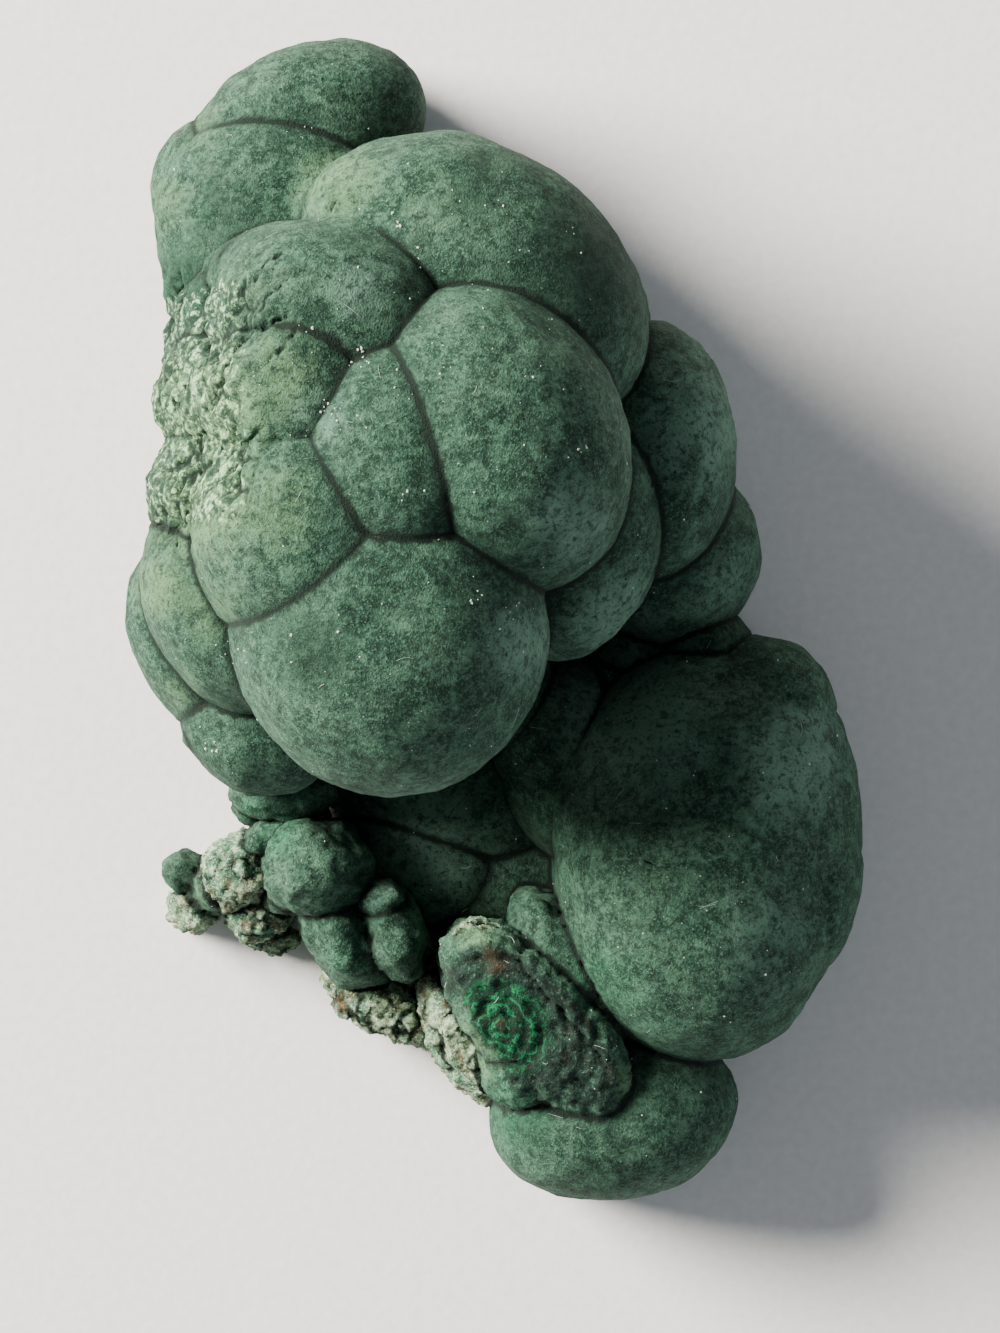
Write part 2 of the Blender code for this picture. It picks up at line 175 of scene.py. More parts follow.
# %% Scatter knobs over the cobbled and crumbly lobes
KNOB_SEED = 7
KNOB_SPREAD = 0.6           # how far a knob strays from the side its patch faces
KNOB_MIN_FACING = 0.1       # cosine below which a knob is turned back to that side
KNOB_SQUEEZE = (0.85, 1.2)  # each half size is the knob's size times a share in this range
KNOB_PATCHES = (
    # host lobe, how many, smallest and largest half size in mm, share sunk, side they face
    ("flank_top", 4, 1.1, 1.9, 0.86, (-0.7, 0.2, 0.6)),
    ("flank_a", 4, 1.1, 1.9, 0.86, (-0.9, 0.1, 0.4)),
    ("flank_b", 6, 1.1, 2.2, 0.86, (-0.9, 0.0, 0.5)),
    ("flank_c", 6, 1.1, 2.2, 0.86, (-0.9, 0.0, 0.5)),
    ("low_left_top", 8, 1.0, 2.0, 0.82, (-1.0, 0.0, 0.2)),
    ("low_left", 8, 1.0, 2.0, 0.82, (-1.0, 0.0, 0.1)),
    ("low_rim", 6, 0.9, 1.8, 0.82, (-1.0, 0.0, 0.2)),
    ("grey", 8, 0.3, 0.7, 0.62, (0.0, -0.2, 1.0)),
    ("grey_back", 5, 0.3, 0.6, 0.62, (0.0, 0.0, 1.0)),
    ("grey_rim", 6, 0.3, 0.6, 0.60, (0.0, -0.4, 0.8)),
    ("ridge_q", 8, 0.4, 0.9, 0.70, (0.0, 0.1, 1.0)),
    ("crust", 12, 0.4, 0.9, 0.62, (0.0, -0.2, 1.0)),
    ("crust_low", 10, 0.4, 1.0, 0.70, (-0.3, -0.2, 1.0)),
    ("crumb_top", 8, 0.3, 0.7, 0.55, (0.0, 0.1, 1.0)),
    ("gap_low", 8, 0.4, 0.9, 0.60, (0.0, 0.0, 1.0)),
    ("shell_low", 5, 0.9, 1.5, 0.80, (-0.5, -0.7, 0.3)),
)


def scatter_knobs(rows, patches, seed):
    """Small eggs at random spots on the chosen lobes, as more rows of the same kind."""
    pick = np.random.default_rng(seed)
    by_name = {row[0]: row for row in rows}
    knobs = []
    for host, count, smallest, largest, sunk_share, side in patches:
        _, cx, cy, cz, rx, ry, rz, turn = by_name[host]
        facing = Vector(side).normalized()
        for number in range(count):
            way = (facing + KNOB_SPREAD * Vector(pick.normal(size=3))).normalized()
            if way.dot(facing) < KNOB_MIN_FACING:
                way = (way + facing).normalized()
            spot = Matrix.Rotation(math.radians(-turn), 3, "Z") @ Vector(
                (rx * way.x, ry * way.y, rz * way.z))
            size = pick.uniform(smallest, largest)
            shape = size * pick.uniform(*KNOB_SQUEEZE, size=3)
            sunk = spot * (1.0 - sunk_share * size / spot.length)
            knobs.append((f"{host}_knob_{number}", cx + sunk.x, cy + sunk.y, cz + sunk.z,
                          *shape, pick.uniform(0.0, 180.0)))
    return knobs


knobs = scatter_knobs(LOBES, KNOB_PATCHES, KNOB_SEED)
all_rows = list(LOBES) + knobs
print(len(knobs), "small knobs")

# %% [markdown]
# ## One skin from many eggs
# A Boolean union of hundreds of eggs is slow and fragile. A voxel remesh fuses them all in seconds,
# but it leaves stair steps. So the remesh only gives the topology: afterwards every vertex is moved
# onto the true surface. The eggs are a little pillow-shaped, flat on top and steep at the side,
# because that is how crowded lobes grow: an exponent above 2 in the egg's formula does it. One lobe
# was broken off flat by a knock, so its egg is cut by a plane.

# %% Fuse the eggs
SKIN_STEP = 0.29      # voxel size in mm
PILLOW = 2.4          # exponent of the egg: 2 is round, more is flatter on top
BIG_EGG = 3.0         # eggs with a half size above this many mm start from a finer ball
BROKEN_LOBE = "broken"
BREAK_ROUNDING = 1.6  # width in mm of the rounded rim of the break
BREAK_POINT = np.array([3.1, -25.2, 15.6])
BREAK_FACING = np.array([-0.12, -0.20, 0.97]) / np.linalg.norm([-0.12, -0.20, 0.97])


def pillow(local):
    """How many times its own size from the centre each point is, and the slope of that."""
    round_part = np.maximum(np.hypot(local[:, 0], local[:, 1]), 1e-9)
    tall_part = np.maximum(np.abs(local[:, 2]), 1e-9)
    reach = (round_part ** PILLOW + tall_part ** PILLOW) ** (1.0 / PILLOW)
    weight = np.stack([round_part, round_part, tall_part], axis=1) ** (PILLOW - 2.0)
    return reach, local * weight * (reach ** (1.0 - PILLOW))[:, None]


def add_egg(build, row):
    """One closed egg in table millimetres, with the broken one cut flat."""
    place = Matrix.Translation(row[1:4]) @ Matrix.Rotation(math.radians(-row[7]), 4, "Z")
    shape = place @ Matrix.Diagonal((*row[4:7], 1.0))
    detail = 3 if max(row[4:7]) > BIG_EGG else 2
    egg = bmesh.ops.create_icosphere(build, subdivisions=detail, radius=1.0)
    ball = np.array([vert.co for vert in egg["verts"]])
    for vert, co in zip(egg["verts"], ball / pillow(ball)[0][:, None]):
        vert.co = shape @ Vector(co)
    if row[0] != BROKEN_LOBE:
        return
    edges = {edge for vert in egg["verts"] for edge in vert.link_edges}
    faces = {face for vert in egg["verts"] for face in vert.link_faces}
    cut = bmesh.ops.bisect_plane(
        build, geom=egg["verts"] + list(edges) + list(faces), dist=1e-5,
        plane_co=BREAK_POINT, plane_no=BREAK_FACING, clear_outer=True)
    rim = [item for item in cut["geom_cut"] if isinstance(item, bmesh.types.BMEdge)]
    bmesh.ops.triangle_fill(build, use_beauty=True, edges=rim, normal=BREAK_FACING)


def bake_modifiers(obj):
    """Keep what the modifiers make as the object's own mesh."""
    graph = bpy.context.evaluated_depsgraph_get()
    baked = bpy.data.meshes.new_from_object(obj.evaluated_get(graph))
    obj.modifiers.clear()
    obj.data = baked


def in_scene(name, data):
    """A new object that shows this data, linked into the scene."""
    obj = bpy.data.objects.new(name, data)
    bpy.context.scene.collection.objects.link(obj)
    return obj


skin = in_scene("malachite_skin", bpy.data.meshes.new("malachite_skin"))
build = bmesh.new()
for row in all_rows:
    add_egg(build, row)
build.to_mesh(skin.data)
build.free()
remesh = skin.modifiers.new("fuse", "REMESH")
remesh.mode = "VOXEL"
remesh.voxel_size = SKIN_STEP
bake_modifiers(skin)
print("fused:", len(skin.data.polygons), "faces")

# %% [markdown]
# The remesh also leaves closed pockets where eggs miss each other inside. Nobody can see them, but
# they would be counted and exported. So the vertices are walked from neighbour to neighbour, and
# only the largest part that hangs together is kept.

# %% Keep only the outer skin
def keep_largest_part(mesh):
    """Drop the closed pockets inside, which nobody can see."""
    build = bmesh.new()
    build.from_mesh(mesh)
    unseen = set(build.verts)
    parts = []
    while unseen:
        stack = [unseen.pop()]
        part = list(stack)
        while stack:
            for edge in stack.pop().link_edges:
                for vert in edge.verts:
                    if vert in unseen:
                        unseen.discard(vert)
                        stack.append(vert)
                        part.append(vert)
        parts.append(part)
    parts.sort(key=len)
    for part in parts[:-1]:
        bmesh.ops.delete(build, geom=part, context="VERTS")
    build.to_mesh(mesh)
    build.free()
    print("dropped", len(parts) - 1, "hidden pockets")


def get_points(mesh):
    """The vertices of a mesh as rows of x, y, z."""
    flat = np.empty(len(mesh.vertices) * 3)
    mesh.vertices.foreach_get("co", flat)
    return flat.reshape(-1, 3)


keep_largest_part(skin.data)

# %% [markdown]
# ## Filled creases
# Two eggs meet in a deep sharp valley. Real lobes kept growing while they touched, so their valley
# is shallow, with only a fine line at its bottom. A smooth union gives that: close to a valley the
# surface is lifted by up to a quarter of the fill width. The width differs from place to place, so
# it is a soft field: a plain value, changed around a few named places. Vertices beside the line are
# moved exactly onto it, so each crease is one clean line.

# %% How soft each crease is
CREASE_FILL = 0.5      # how much of the full smooth union is used
CREASE_SOFTNESS = 0.9  # plain width in mm over which a crease is filled
SOFT_PLACES = (
    # x, y and reach of the place, then how wide the crease is filled (mm)
    (-3.0, 11.0, 4.5, 1.3),
    (-9.5, 13.5, 4.5, 1.3),
    (-15.5, 13.0, 5.5, 3.2),
    (-15.0, 7.0, 4.5, 3.2),
    (-9.0, 26.0, 3.5, 4.0),
    (-19.0, 27.0, 4.0, 3.5),
    (13.0, -13.5, 8.0, 2.2),
    (18.5, -5.0, 4.5, 4.0),
    (21.5, -17.5, 5.0, 3.5),
    (3.5, -10.0, 5.5, 3.0),
)


def crease_softness(points):
    """How wide the crease is filled at each point, in mm."""
    soft = np.full(len(points), CREASE_SOFTNESS)
    for x, y, reach, width in SOFT_PLACES:
        away = (points[:, 0] - x) ** 2 + (points[:, 1] - y) ** 2
        soft += (width - soft) * np.exp(-away / reach ** 2)
    return soft


print("softer creases at", len(SOFT_PLACES), "places")

# %% [markdown]
# Every later step asks the same question of a point: which two eggs are nearest, how far away is
# each, and which way is out of it? The egg's formula gives a quick estimate, its value over its
# slope, which is exact on the surface. Eggs that are too far away are skipped.

# %% Distance to the nearest two eggs
FAR_AWAY = 99.0     # mm, stands for no egg found yet
SEARCH_REACH = 4.0  # mm outside an egg's box where it is still looked at


def nearest_two(points, rows):
    """For each point: distance, outward direction and index of its nearest two eggs."""
    count = len(points)
    gap = np.full((count, 2), FAR_AWAY)
    way = np.zeros((count, 2, 3))
    who = np.zeros((count, 2), dtype=int)
    for index, row in enumerate(rows):
        turn = math.radians(-row[7])
        axes = np.array([[math.cos(turn), math.sin(turn), 0.0],
                         [-math.sin(turn), math.cos(turn), 0.0],
                         [0.0, 0.0, 1.0]]) / np.array(row[4:7])[:, None]
        largest = max(row[4:7])
        box = largest + min(SEARCH_REACH, largest)
        near = np.flatnonzero(np.abs(points - np.array(row[1:4])).max(axis=1) < box)
        times, slope = pillow((points[near] - np.array(row[1:4])) @ axes.T)
        slope = slope @ axes
        steep = np.linalg.norm(slope, axis=1)
        found = (times - 1.0) / steep
        direction = slope / steep[:, None]
        if row[0] == BROKEN_LOBE:
            above = (points[near] - BREAK_POINT) @ BREAK_FACING
            lead = np.clip((above - found) / BREAK_ROUNDING, -1.0, 1.0)
            turned = (0.5 + 0.5 * lead)[:, None]
            direction = direction * (1.0 - turned) + BREAK_FACING * turned
            direction /= np.linalg.norm(direction, axis=1, keepdims=True)
            found = np.maximum(found, above) + BREAK_ROUNDING / 4.0 * (1.0 - np.abs(lead)) ** 2
        first = found < gap[near, 0]
        lead = near[first]
        gap[lead, 1], way[lead, 1], who[lead, 1] = gap[lead, 0], way[lead, 0], who[lead, 0]
        gap[lead, 0], way[lead, 0], who[lead, 0] = found[first], direction[first], index
        other = ~first & (found < gap[near, 1])
        tail = near[other]
        gap[tail, 1], way[tail, 1], who[tail, 1] = found[other], direction[other], index
    return gap, way, who


# %% Settle every vertex on the filled skin
SETTLE_ROUNDS = 4
LINE_DEPTH = 0.05               # mm that the crease line lies below the filled valley
CREASE_COSINE = 0.972           # eggs whose ways out differ by less, 14 degrees, make no line
SNAP_REACH = 0.6 * SKIN_STEP    # vertices this near to a line are moved onto it
LONGEST_STEP = 1.2 * SKIN_STEP  # the most that a vertex moves in one round
FILL_LIMIT = 1.2                # widest fill, as a share of the smaller egg's least half size
small_row = np.array([min(row[4:7]) for row in all_rows])


def filled_skin(points, rows):
    """Height still missing to the filled skin, its outward way, and facts about the crease."""
    gap, way, who = nearest_two(points, rows)
    soft = np.minimum(crease_softness(points), FILL_LIMIT * small_row[who].min(axis=1))
    apart = gap[:, 1] - gap[:, 0]
    share = np.clip(1.0 - apart / soft, 0.0, 1.0)
    lean = (CREASE_FILL * share / 2.0)[:, None]
    outward = way[:, 0] * (1.0 - lean) + way[:, 1] * lean
    outward /= np.maximum(np.linalg.norm(outward, axis=1, keepdims=True), 1e-6)
    missing = CREASE_FILL * soft / 4.0 * share ** 2 - gap[:, 0]
    return missing, outward, gap, way, who, soft


def settle(points, rows, rounds, reach):
    """Move points onto the filled skin, and those beside a crease onto its line."""
    for _ in range(rounds):
        missing, outward, gap, way, _, soft = filled_skin(points, rows)
        step = missing[:, None] * outward
        cosine = np.einsum("pj,pj->p", way[:, 0], way[:, 1])
        beside = (gap[:, 1] - gap[:, 0] < reach) & (cosine < CREASE_COSINE)
        height = CREASE_FILL * soft[beside] / 4.0 - LINE_DEPTH
        near, far = gap[beside, 0] - height, gap[beside, 1] - height
        spread = 1.0 - cosine[beside] ** 2
        first = (cosine[beside] * far - near) / spread
        second = (cosine[beside] * near - far) / spread
        step[beside] = first[:, None] * way[beside, 0] + second[:, None] * way[beside, 1]
        size = np.linalg.norm(step, axis=1, keepdims=True)
        points = points + step * np.minimum(1.0, LONGEST_STEP / np.maximum(size, 1e-9))
    return points


skin_points = settle(get_points(skin.data), all_rows, SETTLE_ROUNDS, SNAP_REACH)
plain_box = [skin_points.min(axis=0), skin_points.max(axis=0)]
print("lobed skin in mm:", np.round(plain_box, 2).tolist())


def put_points(mesh, points):
    """Move the vertices of a mesh to these rows of x, y, z."""
    mesh.vertices.foreach_set("co", np.ascontiguousarray(points).ravel())
    mesh.update()


put_points(skin.data, skin_points)

# %% [markdown]
# ## Slits, growth waves and roughness
# Real lobes are never smooth eggs. Slow waves a few millimetres long come from uneven growth. Thin
# black slits run where folds of the left flank closed on each other, and one faint fold crosses the
# front lobe. The broken face is rough and a little stepped, because it broke along growth layers.
# All of this is real relief, so it is done by moving vertices along their outward way. The waves
# fade out beside a crease, which keeps the crease lines crisp.

# %% Slits and folds
WIDE_FOLD = 0.4            # mm: a slit with a wider half width is a soft fold and stays green
SLIT_WANDER = 0.16         # mm that a slit strays from its line
WANDER_WAVES = np.array([[3.1, -2.3], [2.2, 4.1], [4.6, 3.3]])
PINCH_WAVES = (19.0, 4.3)  # how fast a slit opens and closes along its line
PINCH_MIDDLE, PINCH_SWING, PINCH_LEAST = 0.65, 0.8, 0.1
SLITS = (
    # depth and half width in mm, lowest height, then the x, y points of the line in mm
    (0.22, 0.55, 24.0, ((-10.9, -3.1), (-7.7, -5.2), (-4.8, -6.4), (-3.2, -7.2), (0.3, -7.0))),
    (0.30, 0.11, 20.0, ((-14.5, 21.7), (-15.0, 20.7), (-15.6, 19.0))),
    (0.26, 0.10, 20.0, ((-12.9, 21.7), (-13.8, 20.9), (-14.9, 20.0), (-15.5, 19.1))),
    (0.20, 0.09, 20.0, ((-11.8, 20.6), (-12.9, 19.7), (-13.8, 18.7), (-14.7, 18.1))),
    (0.65, 0.16, 18.0, ((-12.6, 18.0), (-13.6, 17.6), (-14.5, 17.1), (-15.1, 16.7), (-15.8, 16.0),
                        (-16.3, 15.1), (-16.6, 14.1), (-16.9, 13.4), (-17.5, 12.6))),
    (0.50, 0.14, 14.0, ((-17.3, 17.2), (-17.5, 15.6), (-17.9, 14.0))),
    (0.28, 0.11, 20.0, ((-11.8, 17.3), (-12.7, 16.4), (-13.6, 15.3))),
    (0.45, 0.14, 12.0, ((-17.9, 11.3), (-18.4, 9.8), (-18.3, 8.4))),
    (0.40, 0.13, 12.0, ((-19.2, 14.2), (-19.6, 12.6), (-19.5, 11.6))),
    (0.40, 0.13, 12.0, ((-18.9, 6.6), (-19.6, 5.2), (-19.4, 4.0))),
    (0.22, 0.40, 8.0, ((-17.3, 30.0), (-18.8, 28.2), (-19.6, 26.4))),
    (0.35, 0.22, 9.0, ((1.6, -21.6), (3.4, -23.9), (5.6, -26.1), (7.0, -28.2))),
)


def distance_to_line(flat_points, line):
    """Distance in the plane from each point to a line of several straight pieces."""
    best = np.full(len(flat_points), FAR_AWAY)
    for start, end in zip(line[:-1], line[1:]):
        a, b = np.array(start), np.array(end)
        along = np.clip((flat_points - a) @ (b - a) / ((b - a) @ (b - a)), 0.0, 1.0)
        best = np.minimum(best, np.linalg.norm(flat_points - a - along[:, None] * (b - a), axis=1))
    return best


def slit_share(points):
    """How deep in a slit each point is, in mm, and the same as a share from 0 to 1."""
    deepest = np.zeros(len(points))
    share = np.zeros(len(points))
    wander = SLIT_WANDER * np.sin(points @ WANDER_WAVES)
    along = np.sin(wander[:, 0] * PINCH_WAVES[0]) * np.sin(points[:, 1] * PINCH_WAVES[1])
    narrow = np.clip(PINCH_MIDDLE + PINCH_SWING * along, PINCH_LEAST, 1.0)
    for depth, half_width, lowest, line in SLITS:
        away = distance_to_line(points[:, :2] + wander, line)
        inside = np.exp(-((away / half_width) ** 2)) * (points[:, 2] > lowest)
        if half_width < WIDE_FOLD:
            inside *= narrow
            share = np.maximum(share, inside)
        deepest = np.maximum(deepest, depth * inside)
    return deepest, share


print(len(SLITS), "slits and folds")

# %% [markdown]
# The broken face shows an eye: the growth rings around one seed, a little longer than wide. The
# ring number is the distance from the seed, and it is used both for the small steps and later for
# the colour.

# %% Growth rings of the eye
EYE_CENTRE = np.array([0.5, -25.7])
EYE_LONG_WAY = np.array([0.64, -0.77])
EYE_LONG_SHARE = 0.85  # distances along the long way count for this much
RING_WIDTH = 0.42      # mm from one growth layer to the next


def ring_distance(points):
    """Distance in mm from the seed, counted shorter along the eye's long way."""
    away = points[:, :2] - EYE_CENTRE
    along = away @ EYE_LONG_WAY
    across = away[:, 0] * EYE_LONG_WAY[1] - away[:, 1] * EYE_LONG_WAY[0]
    return np.hypot(EYE_LONG_SHARE * along, across)


print("growth rings every", RING_WIDTH, "mm")

# %% [markdown]
# Not every lobe has the same skin. Some are crumbly crust, two are broken rock, and the small knobs
# are lumpy. The name of a lobe says which kind it is, and a small knob is of the same kind as the
# lobe it sits on.

# %% Which lobes are crumbly, broken or lumpy
CRUMBLY_LOBES = ("crust", "crust_low", "gap_low", "grey", "grey_back", "grey_rim", "ridge_q",
                 "knob_q3", "crumb_top")
BROKEN_LOBES = (BROKEN_LOBE, "broken_low")
LUMPY_LOBES = ("knob_r", "knob_r_side", "knob_s", "knob_s_top", "knob_t", "knob_u", "knob_q1",
               "knob_q2", "ridge_up", "hinge", "tab", "left_strip")


def belongs(row, names):
    """Whether a lobe, or the host of a small knob, is one of these."""
    return row[0] in names or row[0].split("_knob_")[0] in names


crumbly_row = np.array([belongs(row, CRUMBLY_LOBES) for row in all_rows], dtype=float)
broken_part = np.array([belongs(row, BROKEN_LOBES) for row in all_rows], dtype=float)
lumpy_row = np.array([belongs(row, LUMPY_LOBES) for row in all_rows], dtype=float)
print(int(crumbly_row.sum()), "crumbly,", int(broken_part.sum()), "broken and",
      int(lumpy_row.sum()), "lumpy eggs")

# %% [markdown]
# Fine relief needs a fine mesh, but a fine mesh everywhere would be too heavy. So only the places
# that will get slits, folds, crumbs or rock are split once more, and the new vertices settle on the
# same skin as the old ones.

# %% Where the fine relief goes
COBBLED_X = (-15.8, -11.8)          # mm: full on the left of the first, none right of the second
COBBLED_Y = (3.0, 6.0, 20.0, 23.0)  # mm: none, full, full and none again
FINE_COBBLED = 0.3                  # share of cobbling from which the mesh is split
FINE_SLIT_WIDTHS = 3.0              # it is also split within this many half widths of a slit
FINE_SNAP_REACH = 0.2 * SKIN_STEP


def cobbled_share(points):
    """1 on the left flank, falling to 0 towards the dome and past the ends of the flank."""
    across = np.interp(points[:, 0], COBBLED_X, (1.0, 0.0))
    along = np.interp(points[:, 1], COBBLED_Y, (0.0, 1.0, 1.0, 0.0))
    return across * along


def fine_places(points):
    """Where the mesh has to be finer: slits, cobbles, crumbs and the broken face."""
    owner = nearest_two(points, all_rows)[2][:, 0]
    fine = (crumbly_row[owner] > 0.0) | (broken_part[owner] > 0.0) | (
        cobbled_share(points) > FINE_COBBLED)
    for depth, half_width, lowest, line in SLITS:
        if half_width < WIDE_FOLD:
            near = distance_to_line(points[:, :2], line) < FINE_SLIT_WIDTHS * half_width
            fine |= near & (points[:, 2] > lowest)
    return fine


def refine(mesh, fine):
    """Split every edge whose two ends are in a fine place."""
    build = bmesh.new()
    build.from_mesh(mesh)
    edges = [edge for edge in build.edges if all(fine[vert.index] for vert in edge.verts)]
    bmesh.ops.subdivide_edges(build, edges=edges, cuts=1, use_grid_fill=True)
    build.to_mesh(mesh)
    build.free()


refine(skin.data, fine_places(skin_points))
skin_points = settle(get_points(skin.data), all_rows, 2, FINE_SNAP_REACH)
print("refined to", len(skin.data.vertices), "vertices")

# %% [markdown]
# The folds of the flank fill it without gaps, so they aren't placed one by one. A cell noise gives
# for any point its nearest two seeds; the difference of the two distances is zero on the line
# between two cells. A root of it makes a rounded fold with a sharp gap around it. The cells are
# stretched along the way the flank leans, and a slow noise closes some of the gaps.

# %% Noise on the skin
COBBLE_SIZE = (1.5, 3.4, 2.6)      # mm across, along and up
COBBLE_LEAN = math.radians(-30.0)
COBBLE_BEND = (0.45, 1.2)          # how far the cells are bent, and how fast that changes
COBBLE_ROUNDING = 0.55             # share of a cell over which its fold rises
COBBLE_SEED = 5                    # without it the bend would differ at every run
WAVE_FALL = 0.8                    # how fast the finer octaves get lower
WAVE_STEP = 2.1                    # how much finer each octave is
noise.seed_set(COBBLE_SEED)


def waves(points, length, octaves, offset):
    """Smooth three-dimensional noise of about this wavelength in mm."""
    shift = Vector((offset, 2.0 * offset, -offset))
    return np.array([noise.fractal(Vector(point) / length + shift, WAVE_FALL, WAVE_STEP, octaves)
                     for point in points])


def cobble_edge(points):
    """0 on the line between two cobbles, growing to 1 in a cobble's middle."""
    edge = []
    leaning = points @ np.array(Matrix.Rotation(COBBLE_LEAN, 3, "Z"))
    bend, pace = COBBLE_BEND
    for place in leaning / np.array(COBBLE_SIZE):
        bent = Vector(place) + bend * noise.noise_vector(Vector(place) * pace)
        near = noise.voronoi(bent)[0]
        edge.append(near[1] - near[0])
    return np.clip(np.array(edge) / COBBLE_ROUNDING, 0.0, 1.0)


def somewhere(points, wanted, make, elsewhere=0.0):
    """The values of make at the wanted points only, to save time."""
    values = np.full(len(points), elsewhere)
    values[wanted] = make(points[wanted])
    return values


# %% Move the vertices
CREASE_FADE = 0.6                    # mm from a crease over which the growth waves fade out
FACE_COSINE, FACE_BLEND = 0.80, 0.14  # what faces along the break counts as broken face
GROWTH_WAVES = (
    # height and wavelength in mm, octaves, offset in the noise
    (0.22, 5.0, 2, 3.1), (0.10, 2.0, 2, 5.2))
GRAIN_WAVES = (0.04, 0.8, 2, 8.4)
GAP_WAVES = (3.0, 1, 9.7)            # the slow noise that closes gaps between folds
GAP_MIDDLE, GAP_SWING, GAP_LEAST = 0.45, 1.6, 0.1
FOLD_DEPTH = 0.75                    # mm
RING_STEP = 0.05                     # mm
_, outward, gap, way, owner, _ = filled_skin(skin_points, all_rows)
fade = np.clip((gap[:, 1] - gap[:, 0]) / CREASE_FADE, 0.0, 1.0)
crumbly = crumbly_row[owner[:, 0]]
cobbled = cobbled_share(skin_points)
rough = broken_part[owner[:, 0]]
on_break = np.clip((way[:, 0] @ BREAK_FACING - FACE_COSINE) / FACE_BLEND, 0.0, 1.0) * rough
pebbled = somewhere(skin_points, cobbled > 0.0, cobble_edge, 1.0)
open_gap = somewhere(skin_points, cobbled > 0.0, lambda some: waves(some, *GAP_WAVES))
open_gap = np.clip(GAP_MIDDLE + GAP_SWING * open_gap, GAP_LEAST, 1.0)
slow, quick = (height * waves(skin_points, *shape) for height, *shape in GROWTH_WAVES)
rise = (slow + quick) * fade
rise += GRAIN_WAVES[0] * waves(skin_points, *GRAIN_WAVES[1:])
rise += FOLD_DEPTH * (np.sqrt(pebbled) - 1.0) * cobbled * open_gap
for places, height, length, octaves, offset in (
        # where, height and wavelength in mm, octaves, offset in the noise
        (cobbled, 0.15, 0.9, 3, 2.2), (crumbly, 0.42, 0.9, 5, 6.3),
        (rough, 0.34, 1.5, 5, 4.4), (lumpy_row[owner[:, 0]], 0.42, 1.9, 3, 1.7)):
    rise += places * height * somewhere(
        skin_points, places > 0.0, lambda some: waves(some, length, octaves, offset))
rise += RING_STEP * np.sin(
    ring_distance(skin_points) * math.tau / (2.0 * RING_WIDTH)) * on_break
cut_depth, slit = slit_share(skin_points)
skin_points += (rise - cut_depth)[:, None] * outward
put_points(skin.data, skin_points)
print("relief between", np.round(rise.min(), 2), "and", np.round(rise.max(), 2), "mm")
